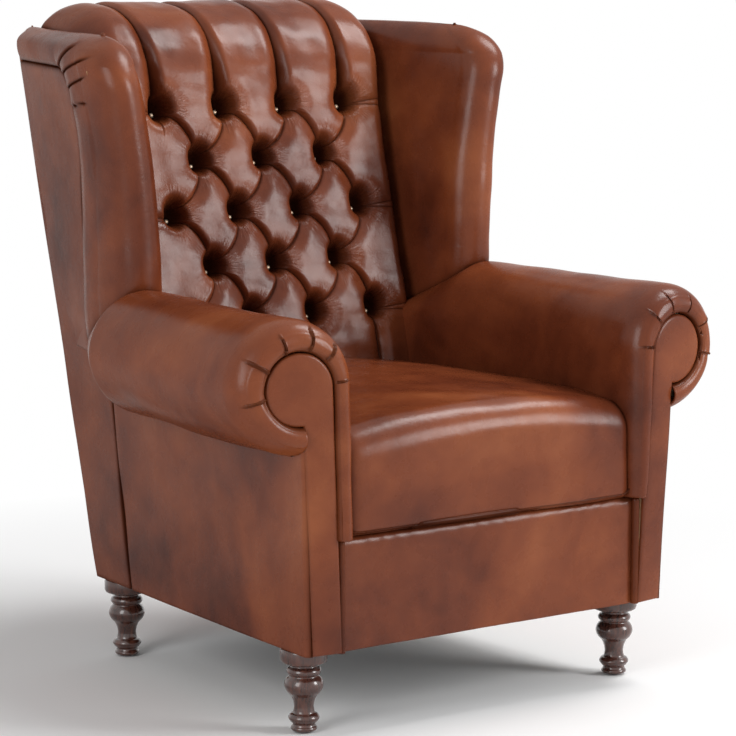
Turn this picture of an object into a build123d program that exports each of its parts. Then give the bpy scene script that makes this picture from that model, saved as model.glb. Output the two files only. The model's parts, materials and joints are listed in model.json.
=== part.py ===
from build123d import *
import math
import os

# A leather wingback chair on turned feet. It stands on the floor at Z 0 and faces -Y.
# Left and right are as seen from the front, so left is -X. Everything off the centre is
# modelled on the right and mirrored. Sizes are millimetres.

# Overall form
chair_height = 1050.0        # floor to the top of the back
foot_height = 130.0          # floor to the underside of the frame
base_depth = 660.0           # rail leather to the outside back, at the underside
base_front_width = 678.0
base_taper = 43.0            # each side comes in this much from front to back
back_rake = 14.0             # degrees, shared by the front and the back of the back
side_lean = 1.7              # degrees, the sides lean out as they rise
leather = 4.0                # leather with its wadding
fit_gap = 0.4                # clearance between soft layers
board_gap = 0.5              # clearance between leather and what it covers
overrun = 60.0               # how far a cutting solid runs past what it cuts

# Arms
scroll_overhang = 19.0       # centre of the scroll head, outboard of the base corner
scroll_height = 526.0
roll_radius = 98.0
roll_rear_radius = 95.0
roll_front_edge = 34.0       # radius of the roll's rounded front edge
roll_lead = 26.0             # the roll stands this far ahead of the rail leather
roll_welt_inset = 9.0        # the seam under the roll, inboard of the roll's axis
arm_splay = 9.0              # degrees, the scroll faces turn outward
arm_taper = 23.0             # the roll's axis comes in this much from front to wing
arm_straight = 442.0         # length of the roll before it dies into the wing
arm_end = 185.0              # length of the dying end
inside_arm = 24.0            # thickness of the padding on the inside of the arm
inside_arm_front = 43.0      # the same at the front edge, where it turns round the board
arm_low = 300.0              # height of the lower edge of the inside arm

# Arm facings
facing_head_radius = 54.0
facing_width = 50.0
facing_thick = 14.0
facing_edge = 4.0
facing_sink = 5.0            # how far the facing lies behind the front of the roll
facing_foot_inset = 60.0     # inner edge of the foot of the facing, inboard of the base corner
scroll_board_thick = 18.0
scroll_board_step = 4.0      # the board is this much smaller than the facing all round

# Seat and front rail leather
seat_edge_height = 452.0
seat_crown = 22.0
seat_side_drop = 14.0
seat_lead = 8.0              # the seat front stands this far ahead of the rail leather
seat_nose = 46.0             # radius of the rounded front edge
seat_gap = 1.2               # clearance to the inside arms and to the back
seat_hem = 304.0             # lower edge of the seat leather at the front
seat_side_inset = 54.0       # side of the seat, inboard of the base corner, before the arms cut into it
seat_rise_shares = (-1.0, -0.8, -0.4, 0.0, 0.4, 0.8, 1.0)
seat_side_share = 0.8        # beyond this share of its half width the seat drops to its side
rail_cover_top = 299.0
rail_cover_thick = 7.0
rail_cover_round = 6.0

# Tufted back
tuft_rows = 5
tuft_columns = 4             # buttons in the odd rows
column_pitch = 61.0          # half the distance between buttons in a row
first_row_drop = 169.0       # top of the back down to the first row
last_row_rise = 91.3         # edge of the seat up to the last row
tuft_depth = 40.0            # button below the crown of the folds
pleat_bow = 4.0              # control height of a pleat between two buttons
diamond_rise = 32.0
channel_fall = 30.0
pleat_depth = 12.0
crest_pleat_depth = 8.0
tail_pleat_depth = 3.0
edge_depth = 20.0
edge_rise = 14.0
tail_edge_rise = 2.0
side_pleat = 4.0
cover_depth = 46.0           # crown of the folds to the inner face of the cover
crest_cover_depth = 36.0     # the same on top of the back
tail_depth = 9.0             # the same behind
crest_edge_depth = 16.0      # side edges of the crest, below its crown
tail_edge_depth = 6.0        # and behind
back_thickness = 214.0
back_inset = 42.0            # side of the tufted cover, inboard of the rear base corner
crest_flare = 11.3           # degrees, the crest spreads above the first row
crest_start = 45.0           # above the first row, where the crest begins to curve
crest_top_run = 93.0         # rear face line back to the highest line, along Y
crest_tail = 85.0            # how far the cover comes down behind
back_low = 350.0             # height of the lower edge of the tufted cover
back_clear = 0.6

# Wings
wing_front_setback = 489.0   # rail leather to the centre of the wing's front roll
wing_base_inset = 12.0       # centre of the front roll, inboard of the front base corner, at the arm
wing_flare = 38.0            # how far it has moved out near the top
wing_roll_radius = 43.0
wing_lap = 5.0               # inside of the wing at its back edge, inboard of the tufted cover's side
wing_top = 1012.0
wing_round = 46.0            # radius of the rounded top roll
wing_back_round_share = 0.6  # how much of the top rounding its back edge has
wing_flare_rise = 114.0      # scroll centre up to where the wing begins to flare
wing_height_shares = (0.0, 1 / 3, 2 / 3)
wing_top_shares = (0.6, 0.9, 1.0)
wing_board_thick = 20.0
panel_top_drop = 53.0        # wing top down to the seam under the top roll
seam_setback = 599.0         # rail leather to the seam behind the front roll
low_seam_setback = 541.0     # the same at the underside of the frame
panel_turn_drop = 86.0       # scroll centre down to where the side panel is flat
panel_turn_rise = 34.0       # scroll centre up to where it follows the wing
panel_top_shares = (0.0, 0.3, 0.5, 0.7)

# Timber frame
rail_thick = 22.0
rail_height = 110.0
front_rail_height = 150.0    # and the back seat rail
post_width = 32.0
post_depth = 45.0
leg_block_size = 80.0
leg_block_height = 40.0
arm_board_width = 90.0
arm_board_thick = 22.0
arm_board_drop = 20.0        # arm board's top below the roll's axis
top_rail_height = 60.0
top_rail_drop = 27.0         # crown of the back down to the top rail
low_rail_rise = 62.5         # top of the back seat rail up to the lower back rail
board_setback = 12.0         # wing board behind the middle of the front roll
rail_clear = 1.5             # rails stay this much further in than the posts
nut_clear = 0.1

# Springs, webbing and cloth
spring_count = 5
spring_wire = 3.8
spring_width = 54.0
spring_waves = 7
clip_length = 26.0
clip_width = 16.0
clip_thick = 2.0
cloth_thick = 1.5
web_width = 50.0
web_count = 6
web_thick = 2.0
dust_cloth = 1.2

# Feet and their fastenings
foot_front_inset = 39.0      # front feet, inboard of the front base corner
foot_back_inset = 34.0
foot_front_setback = 65.0    # rail leather to the front feet
foot_back_setback = 625.0
foot_cap_radius = 35.5
foot_cap_height = 25.0
foot_cap_edge = 6.0          # rounding of the cap
foot_neck_radius = 20.0
foot_neck_height = 6.0
foot_ring_radius = 26.0
foot_ring_height = 13.0
foot_groove_radius = 22.0
foot_bulb_radius = 29.3
foot_bulb_height = 30.0
foot_waist_radius = 14.8
foot_waist_height = 27.0
foot_low_ring_radius = 23.2
foot_low_ring_height = 13.0
foot_fillet_radius = 17.6
foot_fillet_height = 6.0
foot_base_radius = 19.8
foot_sides = 16
small_sides = 8              # flats round a button, a bolt or a glide
bolt_radius = 4.0
bolt_in_foot = 34.0
nut_flange_radius = 11.0
nut_flange_thick = 1.6
nut_barrel_radius = 5.6
nut_barrel_length = 10.0
glide_radius = 9.0
glide_thick = 3.0
glide_pin_radius = 1.2
glide_pin_length = 12.0

# Buttons and their twine
button_radius = 4.2
button_dome = 2.6
button_shank = 11.5
twine_width = 2.0
twine_slot = 10.0
toggle_length = 26.0
toggle_width = 6.0

circle_share = 0.5523        # control length of a quarter circle, as a share of its radius

# Places worked out from the sizes
rake = math.radians(back_rake)
lean = math.tan(math.radians(side_lean))
splay = math.radians(arm_splay)
flare = math.tan(math.radians(crest_flare))
hem_height = foot_height                     # lower edge of the leather
crest_tail_height = chair_height - crest_tail
horn_height = wing_top - wing_round / 2        # rearmost point, behind the top of the wing
total_depth = roll_lead + base_depth + (horn_height - hem_height) * math.tan(rake)
front_y = roll_lead - total_depth / 2        # face of the rail leather
base_back_y = front_y + base_depth           # outside back at the underside
front_half = base_front_width / 2
back_half = front_half - base_taper
scroll_x = front_half + scroll_overhang
side_slope = base_taper / base_depth
seat_half = front_half - seat_side_inset
back_half_width = back_half - back_inset
wing_inner_back = back_half_width - wing_lap
wing_base_half = front_half - wing_base_inset
wing_y = front_y + wing_front_setback
wing_flare_from = scroll_height + wing_flare_rise
panel_turn_low = scroll_height - panel_turn_drop
panel_turn_high = scroll_height + panel_turn_rise
frame_back = leather + board_gap             # timber lies this far inside the leather
arm_back_y = front_y + arm_straight


def back_y(z):
    """Outside of the back at a height."""
    return base_back_y + (z - hem_height) * math.tan(rake)


def side_x(y, z):
    """Outside of the flat part of the side."""
    return front_half - (y - front_y) * side_slope + (z - hem_height) * lean


def keep(name, shape):
    """Write one sub-part."""
    export_step(shape, f"parts/{name}.step")


def pair(name, shape):
    """Write a right-hand sub-part and its mirror image."""
    keep(name + "_right", shape)
    keep(name + "_left", mirror(shape, about=Plane.YZ))


def both(shape):
    return Compound(children=[shape, mirror(shape, about=Plane.YZ)])


def block(x0, x1, y0, y1, z0, z1):
    """A box between two corners."""
    return Pos(x0, y0, z0) * Box(x1 - x0, y1 - y0, z1 - z0, align=(Align.MIN,) * 3)


def plan_face(points, z):
    return Face(Wire.make_polygon([Vector(x, y, z) for x, y in points], close=True))


def slab_between(levels):
    """A ruled solid through plan outlines of four corners, one for each height."""
    return loft([plan_face(points, z) for z, points in levels], ruled=True)


# Side panels and rails lie on the side of the chair, so they share this outline.
def side_strip(y0, y1, outer, inner):
    """A strip along the side between two depths below its surface."""
    def at(z):
        return [(side_x(y0, z) - outer, y0), (side_x(y1, z) - outer, y1),
                (side_x(y1, z) - inner, y1), (side_x(y0, z) - inner, y0)]
    return at


# The arm. A section is a keyhole: a roll on an upright pad, drawn square to the arm.
def quarter(a, corner_a, corner_b, b):
    """A quarter of a rounded corner as one curve."""
    return Edge.make_bezier(a, a + (corner_a - a) * circle_share, b + (corner_b - b) * circle_share, b)


def arm_section(centre, turn, inner, top, outer, under, pad, grow, low):
    """Closed keyhole outline. centre is a Vector, the rest are offsets from it."""
    def at(p, q):
        return Vector(centre.X + p * math.cos(turn), centre.Y + p * math.sin(turn), centre.Z + q)
    inner, top, outer, under = inner + grow, top + grow, outer + grow, under + grow
    foot = low - centre.Z
    left, crown, right = at(-inner, 0), at(0, top), at(outer, 0)
    welt, heel = at(-roll_welt_inset, -under), at(pad, -under)
    edges = [
        Edge.make_line(at(-inner, foot), left),
        quarter(left, at(-inner, top), at(-inner, top), crown),
        quarter(crown, at(outer, top), at(outer, top), right),
        quarter(right, at(outer, -under), at(outer, -under), welt),
        Edge.make_line(welt, heel),
        Edge.make_line(heel, at(pad, foot)),
        Edge.make_line(at(pad, foot), at(-inner, foot)),
    ]
    return Face(Wire(edges))


roll_front_radius = roll_radius - roll_front_edge
roll_front_y = front_y - roll_lead + roll_front_radius * math.sin(splay)
arm_slope = arm_taper / (arm_back_y - roll_front_y)
arm_turn = math.atan(arm_slope)


def arm_x(y):
    return scroll_x - (y - roll_front_y) * arm_slope


def arm_inside_x(y):
    """Inner face of the arm padding."""
    radius = roll_radius + (roll_rear_radius - roll_radius) * (y - roll_front_y) / (arm_back_y - roll_front_y)
    return arm_x(y) - radius


def arm_at(y, turn, inner, roll, pad, grow, low):
    centre = Vector(arm_x(y), y, scroll_height)
    return arm_section(centre, turn, inner, roll, roll, roll, pad, grow, low)


arm_front_shares = (0.0, 0.12, 0.45, 1.0)
arm_body_shares = (0.15, 1.0)
arm_end_shares = (0.4, 0.75, 0.93)
foam_front_shares = (0.45, 1.0)
foam_end_shares = (0.4, 0.93)
dying_power = 1.5            # how the roll shrinks along its dying end


def arm_solid(grow, low, pad_out, front_shares=arm_front_shares, end_shares=arm_end_shares):
    """The padded arm. grow moves its skin. Its sections run round the front edge and along to the wing."""
    sections = []
    for share in front_shares:
        back = roll_front_edge * (1 - share)
        radius = roll_radius - roll_front_edge + math.sqrt(roll_front_edge ** 2 - back ** 2)
        turn = splay + (arm_turn - splay) * share / 2
        pad = inside_arm_front - roll_radius + pad_out
        sections.append(arm_at(roll_front_y + roll_front_edge * share, turn, radius, radius, pad, grow, low))
    body_start = roll_front_y + roll_front_edge
    for share in arm_body_shares:
        y = body_start + (arm_back_y - body_start) * share
        radius = roll_radius + (roll_rear_radius - roll_radius) * share
        sections.append(arm_at(y, arm_turn, radius, radius, inside_arm - radius + pad_out, grow, low))
    for share in end_shares:
        y = arm_back_y + arm_end * share
        inner = roll_rear_radius - (y - arm_back_y) * (arm_slope - side_slope)
        roll = roll_rear_radius * (1 - share ** dying_power)
        sections.append(arm_at(y, arm_turn, inner, roll, inside_arm - inner + pad_out, grow, low))
    return loft(sections, ruled=True)


# The back. Points are given across the chair, up its slope, and down from the crown of the folds.
first_row_height = chair_height - first_row_drop
crown_origin = Vector(0, back_y(first_row_height) - back_thickness / math.cos(rake), first_row_height)
up_slope = Vector(0, math.sin(rake), math.cos(rake))
out_of_slope = Vector(0, -math.cos(rake), math.sin(rake))
last_row_height = seat_edge_height + last_row_rise
row_pitch = (first_row_height - last_row_height) / math.cos(rake) / (tuft_rows - 1)
bottom_t = (back_low - first_row_height) / math.cos(rake)
back_crown = back_y(chair_height)
top_y = back_crown - crest_top_run


def on_slope(x, t, depth):
    """A point on the raked front of the back."""
    return Vector(x, 0, 0) + crown_origin + up_slope * t - out_of_slope * depth


def edge_x(point):
    """Half width of the back at a point: straight up to the first row, then spreading."""
    return back_half_width + max(0.0, (point - crown_origin).dot(up_slope)) * flare


def crest_path(depth, high_depth=None, tail_depth=None):
    """Control points in the YZ plane, from the start of the curve over the top and down behind."""
    high_depth = depth if high_depth is None else high_depth
    tail_depth = depth if tail_depth is None else tail_depth
    high = chair_height - high_depth
    start = on_slope(0, crest_start, depth)
    front_corner = start + up_slope * ((high - start.Z) / math.cos(rake))
    tail = Vector(0, back_y(crest_tail_height), crest_tail_height) + out_of_slope * tail_depth
    back_corner = tail + up_slope * ((high - tail.Z) / math.cos(rake))
    return [start, front_corner, Vector(0, top_y, high), back_corner, tail]


def across(point, x):
    return Vector(x, point.Y, point.Z)


def button_point(column, row):
    return on_slope(column * column_pitch, -(row - 1) * row_pitch, tuft_depth)


def fold(a, b, depth):
    """Control point half way between two points, at a depth below the crown."""
    x = (a.X + b.X) / 2
    t = ((a - crown_origin).dot(up_slope) + (b - crown_origin).dot(up_slope)) / 2
    return on_slope(x, t, depth)


def slope_line(x, t_shares, depths, t_from, t_to):
    return [on_slope(x, t_from + (t_to - t_from) * s, d) for s, d in zip(t_shares, depths)]


def side_point(t, depth):
    point = on_slope(0, t, depth)
    return across(point, edge_x(point))


def flip(grid):
    return [[Vector(-p.X, p.Y, p.Z) for p in row] for row in grid]


band_shares = (0.0, 1 / 3, 2 / 3, 1.0)


def channel_half(column, side, t_open, row_open, row_pit):
    """Half of a channel that runs out of a pair of buttons, down to the button between them."""
    x_pleat, x_ridge = (column + side) * column_pitch, column * column_pitch
    button, pit = button_point(column + side, row_open), button_point(column, row_pit)
    t_button, t_pit = -(row_open - 1) * row_pitch, -(row_pit - 1) * row_pitch
    pleat = slope_line(x_pleat, band_shares, (pleat_depth, pleat_depth, pleat_depth, tuft_depth), t_open, t_button)
    ridge = slope_line(x_ridge, band_shares, (0, 0, channel_fall, tuft_depth), t_open, t_pit)
    middle = [fold(pleat[0], ridge[0], 0), fold(pleat[1], ridge[1], 0),
              fold(pleat[2], ridge[2], 0), fold(button, pit, -pleat_bow)]
    pleat[3], ridge[3] = button, pit
    return [[pleat[i], middle[i], ridge[i]] for i in range(4)]


def outer_channel(t_open, row_open):
    """The channel between the last pleat and the side edge."""
    x_pleat = (tuft_columns - 1) * column_pitch
    button, t_button = button_point(tuft_columns - 1, row_open), -(row_open - 1) * row_pitch
    pleat = slope_line(x_pleat, band_shares, (pleat_depth, pleat_depth, pleat_depth, tuft_depth), t_open, t_button)
    pleat[3] = button
    edge = [side_point(t_open + (t_button - t_open) * s, edge_depth) for s in band_shares]
    rises = (-edge_rise, -edge_rise, -edge_rise, side_pleat)
    middle = [fold(pleat[i], edge[i], rises[i]) for i in range(4)]
    return [[pleat[i], middle[i], edge[i]] for i in range(4)]


def side_half(row, step):
    """Half of a side fold, from a pleat row to the ridge through the button row beside it."""
    button, pit = button_point(tuft_columns - 1, row), button_point(tuft_columns - 2, row + step)
    edge_a = side_point(-(row - 1) * row_pitch, edge_depth)
    edge_b = side_point(-(row + step - 1) * row_pitch, edge_depth)
    return [
        [button, fold(button, edge_a, side_pleat), edge_a],
        [fold(button, pit, -pleat_bow), fold(fold(button, pit, 0), fold(edge_a, edge_b, 0), -edge_rise),
         fold(edge_a, edge_b, edge_depth)],
        [pit, fold(pit, edge_b, -edge_rise), edge_b],
    ]


def diamond(column, row):
    """A full fold between four buttons."""
    top, bottom = button_point(column, row - 1), button_point(column, row + 1)
    left, right = button_point(column - 1, row), button_point(column + 1, row)
    return [
        [top, fold(top, right, -pleat_bow), right],
        [fold(top, left, -pleat_bow), fold(top, bottom, -diamond_rise), fold(right, bottom, -pleat_bow)],
        [left, fold(left, bottom, -pleat_bow), bottom],
    ]


def crest_band(first):
    """One stretch of every channel over the top. first is 0 for the front stretch, 2 behind."""
    grids = []
    pleats = crest_path(pleat_depth, crest_pleat_depth, tail_pleat_depth)
    ridges, rises = crest_path(0), crest_path(-edge_rise, -edge_rise, -tail_edge_rise)
    edges = crest_path(edge_depth, crest_edge_depth, tail_edge_depth)
    span = range(first, first + 3)
    for column in (-2, 0, 2):
        for side in (-1, 1):
            x_pleat, x_ridge = (column + side) * column_pitch, column * column_pitch
            x_mid = (x_pleat + x_ridge) / 2
            grids.append([[across(pleats[i], x_pleat), across(ridges[i], x_mid), across(ridges[i], x_ridge)]
                          for i in span])
    x_last = (tuft_columns - 1) * column_pitch
    outer = []
    for i in span:
        x_edge = edge_x(edges[i])
        outer.append([across(pleats[i], x_last), across(rises[i], (x_last + x_edge) / 2), across(edges[i], x_edge)])
    return grids + [outer, flip(outer)]


def channels(t_open, row_open, row_pit):
    """Every channel that opens at one end of the tufting."""
    outer = outer_channel(t_open, row_open)
    halves = [channel_half(column, side, t_open, row_open, row_pit)
              for column in (-2, 0, 2) for side in (-1, 1)]
    return halves + [outer, flip(outer)]


def tufted_front():
    """Control grids of every fold."""
    grids = channels(crest_start, 1, 2) + channels(bottom_t, tuft_rows, tuft_rows - 1)
    for row in range(2, tuft_rows):
        columns = (-1, 1) if row % 2 == 0 else (-2, 0, 2)
        grids += [diamond(column, row) for column in columns]
    for row, step in ((1, 1), (3, -1), (3, 1), (5, -1)):
        half = side_half(row, step)
        grids += [half, flip(half)]
    return grids + crest_band(0) + crest_band(2)


def other_side(point):
    return Vector(-point.X, point.Y, point.Z)


def end_face(rows, outer, inner):
    """The flat end of the cover, between the ends of its folds and its inner face."""
    edges = [Edge.make_bezier(*row) for row in rows]
    edges += [Edge.make_line(outer, inner), Edge.make_line(inner, other_side(inner)),
              Edge.make_line(other_side(inner), other_side(outer))]
    return Face(Wire(edges))


def tufted_cover():
    """Leather and wadding of the inside back, from the seat over the top."""
    faces = [Face.make_bezier_surface(grid) for grid in tufted_front()]
    inner = [across(p, edge_x(p)) for p in crest_path(cover_depth, crest_cover_depth, tail_depth)]
    outer = [across(p, edge_x(p)) for p in crest_path(edge_depth, crest_edge_depth, tail_edge_depth)]
    low_inner, low_outer = side_point(bottom_t, cover_depth), side_point(bottom_t, edge_depth)
    row_inner = side_point(0, cover_depth)
    row_outer = [side_point(-row * row_pitch, edge_depth) for row in range(tuft_rows)]
    sides = [[low_outer] + row_outer[::-1] + [row_inner, low_inner],
             [row_outer[0], outer[0], inner[0], row_inner]]
    for points in sides + [[other_side(p) for p in points] for points in sides]:
        faces.append(Face(Wire.make_polygon(points, close=True)))
    for first in (0, 2):
        rows = [outer[first:first + 3], inner[first:first + 3]]
        faces.append(Face.make_bezier_surface(rows))
        faces.append(Face.make_bezier_surface(flip(rows)))
        faces.append(Face.make_bezier_surface([rows[1], [other_side(p) for p in rows[1]]]))
    flat = [low_inner, row_inner, inner[0]]
    faces.append(Face(Wire.make_polygon(flat + [other_side(p) for p in flat[::-1]], close=True)))
    low_rows = [grid[0] for grid in channels(bottom_t, tuft_rows, tuft_rows - 1)]
    faces.append(end_face(low_rows, low_outer, low_inner))
    faces.append(end_face([grid[2] for grid in crest_band(2)], outer[4], inner[4]))
    return Solid(Shell(faces))


def back_profile(points, tail):
    """Face in the YZ plane: up the front of the slope, over the crest, and back to the start."""
    low, path = points
    edges = [Edge.make_line(low, path[0]), Edge.make_bezier(*path[:3]), Edge.make_bezier(*path[2:])]
    chain = [path[4]] + tail + [low]
    edges += [Edge.make_line(a, b) for a, b in zip(chain, chain[1:])]
    return Face(Wire(edges))


def across_chair(face, half):
    """Extrude a YZ face the same way to both sides."""
    return extrude(face, amount=half, dir=(1, 0, 0), both=True)


def slope_outline(half, low_t, high_t, clear):
    """The outline of the inside back on its slope, drawn at the crown."""
    spread = half + clear + high_t * flare
    points = [(half + clear, low_t), (half + clear, 0), (spread, high_t)]
    ring = points + [(-x, t) for x, t in points[::-1]]
    return Face(Wire.make_polygon([on_slope(x, t, -clear) for x, t in ring], close=True))


def back_space():
    """The room that the inside back takes, with clearance."""
    high_t = (chair_height - first_row_height) / math.cos(rake) + overrun
    outline = slope_outline(back_half_width, bottom_t - overrun, high_t, back_clear)
    column = extrude(outline, amount=back_thickness + overrun, dir=-out_of_slope)
    path = crest_path(-back_clear, -back_clear, -overrun)
    low = on_slope(0, bottom_t - back_clear, -back_clear)
    profile = back_profile((low, path), [on_slope(0, bottom_t - back_clear, back_thickness + overrun)])
    return column & across_chair(profile, base_front_width)


def back_foam():
    """Foam slab that carries on over the top rail, with a slot for each button's twine."""
    depth, deep = cover_depth + fit_gap, back_thickness - tail_depth - fit_gap
    path = crest_path(depth, crest_cover_depth + fit_gap, tail_depth + fit_gap)
    profile = back_profile((on_slope(0, bottom_t, depth), path), [on_slope(0, bottom_t, deep)])
    outline = slope_outline(back_half_width, bottom_t - overrun, rail_top_t + overrun, -board_gap)
    column = extrude(outline, amount=back_thickness + overrun, dir=-out_of_slope)
    behind = slope_block(-base_front_width, base_front_width, bottom_t - overrun, rail_top_t + fit_gap,
                         foam_back_depth, back_thickness + overrun)
    foam = (across_chair(profile, base_front_width) & column) - behind
    for x, t in button_places():
        foam -= slope_bar(x, t, twine_slot, twine_slot, cover_depth, foam_back_depth + overrun)
    return foam


def button_places():
    """Across and up the slope, for every button."""
    places = []
    for row in range(1, tuft_rows + 1):
        count = tuft_columns if row % 2 else tuft_columns - 1
        for i in range(count):
            places.append(((2 * i - count + 1) * column_pitch, -(row - 1) * row_pitch))
    return places


def slope_bar(x, t, wide, tall, depth_a, depth_b):
    """A square bar that runs straight into the back, between two depths."""
    plane = Plane(origin=on_slope(x, t, depth_a), x_dir=(1, 0, 0), z_dir=-out_of_slope)
    return extrude(plane * Rectangle(wide, tall), amount=depth_b - depth_a)


def slope_block(x0, x1, t0, t1, depth0, depth1):
    """A box that leans with the back."""
    plane = Plane(origin=on_slope(x0, t0, depth1), x_dir=(1, 0, 0), z_dir=out_of_slope)
    return plane * Box(x1 - x0, t1 - t0, depth1 - depth0, align=(Align.MIN,) * 3)


rail_back_depth = back_thickness - tail_depth - rail_clear
rail_front_depth = back_thickness - tail_depth - board_gap - post_depth
foam_back_depth = rail_front_depth - web_thick - fit_gap
rail_top_t = (chair_height - top_rail_drop - first_row_height) / math.cos(rake)
low_rail_height = foot_height + front_rail_height + low_rail_rise
rail_low_t = (low_rail_height - first_row_height) / math.cos(rake) + top_rail_height


def back_rail(top_t):
    """A rail across the back, between the rear posts."""
    low_t = top_t - top_rail_height
    half = rear_post_inner_x(on_slope(0, low_t, rail_front_depth).Z) - board_gap
    return slope_block(-half, half, low_t, top_t, rail_front_depth, rail_back_depth)


def rear_post_outer_x(z):
    return side_x(back_y(z), z) - frame_back


def rear_post_inner_x(z):
    return rear_post_outer_x(z) - post_width


# The wing. A section is a plan outline: straight sides between the back and a round front.
wing_shoulder = wing_top - wing_round
wing_heights = [wing_flare_from + (wing_shoulder - wing_flare_from) * share for share in wing_height_shares]


def wing_x(z):
    """Middle of the front roll at a height."""
    climb = max(0.0, z - wing_flare_from) / (wing_shoulder - wing_flare_from)
    return wing_base_half + wing_flare * min(climb, 1.0) ** 2


def wing_outer_back(z):
    return side_x(back_y(z), z)


def wing_section(z, inset, sink, back_run):
    """Plan outline at a height. inset shrinks it for the top roll, sink moves its skin in."""
    radius = wing_roll_radius - inset - sink
    x, y = wing_x(z), wing_y + inset / 2
    back = back_y(z) - frame_back
    reach = (back + back_run - y) / (back - y)
    back_inset = inset * wing_back_round_share + sink
    inner_back, outer_back = wing_inner_back + back_inset, wing_outer_back(z) - back_inset
    inner_front, tip = Vector(x - radius, y, z), Vector(x, y - radius, z)
    outer_front = Vector(x + radius, y, z)
    inner_end = inner_front + (Vector(inner_back, back, z) - inner_front) * reach
    outer_end = outer_front + (Vector(outer_back, back, z) - outer_front) * reach
    corner = Vector(0, -radius, 0)
    edges = [
        Edge.make_line(inner_end, inner_front),
        quarter(inner_front, inner_front + corner, inner_front + corner, tip),
        quarter(tip, outer_front + corner, outer_front + corner, outer_front),
        Edge.make_line(outer_front, outer_end),
        Edge.make_line(outer_end, inner_end),
    ]
    return Face(Wire(edges))


def wing_solid(sink, foot, back_run):
    """The padded wing. Its section shrinks near the top, which rounds the top roll."""
    levels = [(z, 0.0) for z in (foot, *wing_heights, wing_shoulder)]
    thickest = wing_roll_radius - sink - leather
    for share in wing_top_shares:
        inset = (1 - math.sqrt(1 - share ** 2)) * min(wing_round, thickest)
        levels.append((wing_shoulder + (wing_round - sink) * share, inset))
    return loft([wing_section(z, inset, sink, back_run) for z, inset in levels], ruled=True)


def seam_y(z):
    """Front edge of the side panel behind the arm and the wing's front roll."""
    low, high = front_y + low_seam_setback, front_y + seam_setback
    return low + (high - low) * min(1.0, (z - hem_height) / (panel_turn_high - hem_height))


def outer_x(y, z):
    """Outside of the side panel: flat below the arm, following the wing above it."""
    back = back_y(z) - frame_back
    on_wing = wing_outer_back(z) + (wing_x(z) + wing_roll_radius - wing_outer_back(z)) * (back - y) / (back - wing_y)
    turn = min(1.0, max(0.0, (z - panel_turn_low) / (panel_turn_high - panel_turn_low)))
    return side_x(y, z) + (on_wing - side_x(y, z)) * turn


def panel_levels(top):
    return [hem_height, panel_turn_low, panel_turn_high, *wing_heights, top]


def outer_strip(z, out, thick, front, back):
    y0, y1 = seam_y(z) - front, back_y(z) + back
    return [(outer_x(y0, z) + out, y0), (outer_x(y1, z) + out, y1),
            (outer_x(y1, z) - thick, y1), (outer_x(y0, z) - thick, y0)]


def outside_wing_panel():
    """Leather from the top of the wing down to the base, behind the arm."""
    top = wing_top - panel_top_drop
    levels = [(z, outer_strip(z, 0.0, leather, 0.0, -frame_back)) for z in panel_levels(top)]
    return slab_between(levels) - arm_solid(fit_gap, arm_low, 0.0)


def wing_panel_space():
    top = wing_top - panel_top_drop + board_gap
    levels = [(z, outer_strip(z, overrun, leather + board_gap, board_gap, overrun)) for z in panel_levels(top)]
    return slab_between(levels)


# Leather and padding of the wings and arms
def wing_board(clear=0.0):
    """Board inside the wing, from the arm board up to the top roll."""
    def at(z):
        y0 = wing_y + board_setback - clear
        y1 = back_y(z) - frame_back - post_depth - board_gap + clear
        outer, inner = frame_back + fit_gap - clear * 2, frame_back + wing_board_thick + clear
        return [(outer_x(y0, z) - outer, y0), (outer_x(y1, z) - outer, y1),
                (outer_x(y1, z) - inner, y1), (outer_x(y0, z) - inner, y0)]
    heights = [arm_board_top - clear, panel_turn_high, *wing_heights, wing_top - panel_top_drop + clear]
    return slab_between([(z, at(z)) for z in heights])


def rear_post(clear=0.0):
    """Raked post on its leg block, up to the crest."""
    def at(z):
        y0, y1 = back_y(z) - frame_back - post_depth - clear, back_y(z) - frame_back + clear
        x0, x1 = rear_post_inner_x(z) - clear, rear_post_outer_x(z) + clear
        return [(x1, y0), (x1, y1), (x0, y1), (x0, y0)]
    top = wing_top - panel_top_drop + clear
    return slab_between([(z, at(z)) for z in (block_top, top)]) - back_space()


arm_board_top = scroll_height - arm_board_drop
arm_board_low = arm_board_top - arm_board_thick
block_top = foot_height + leg_block_height
rail_front_y = front_y + rail_cover_thick + board_gap
rail_inner_y = rail_front_y + rail_thick


def facing_y(x, depth):
    """The splayed plane of the facing, a depth behind the front of the roll."""
    return roll_front_y + (x - scroll_x) * math.tan(splay) + depth / math.cos(splay)


facing_back = facing_sink + facing_thick
board_front = facing_back + fit_gap
board_back = board_front + scroll_board_thick
front_rail_half = front_half - facing_foot_inset - board_back * math.sin(splay)
post_front_y = facing_y(front_rail_half + post_width, board_back) + board_gap


def keyhole(step, front, back):
    """The outline of the facing, made smaller by a step, between two depths."""
    c, s = math.cos(splay), math.sin(splay)
    start = Vector(scroll_x, roll_front_y, scroll_height) + Vector(-s, c, 0) * back
    plane = Plane(origin=start, x_dir=(c, s, 0), z_dir=(s, -c, 0))
    radius = facing_head_radius - step
    foot = hem_height + step - scroll_height
    foot_in = (front_half - facing_foot_inset - scroll_x) / c + step
    foot_out = foot_in + facing_width - step * 2
    neck = -(facing_head_radius - facing_width + facing_edge)
    low = (neck, -math.sqrt(radius ** 2 - neck ** 2))
    turn = radius * math.sqrt(0.5)
    edges = [Edge.make_line((foot_in, foot), (-radius, 0)),
             Edge.make_three_point_arc((-radius, 0), (0, radius), (radius, 0)),
             Edge.make_three_point_arc((radius, 0), (turn, -turn), low),
             Edge.make_line(low, (foot_out, foot)),
             Edge.make_line((foot_out, foot), (foot_in, foot))]
    return extrude(plane * Face(Wire(edges)), amount=back - front, dir=(s, -c, 0))


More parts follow.
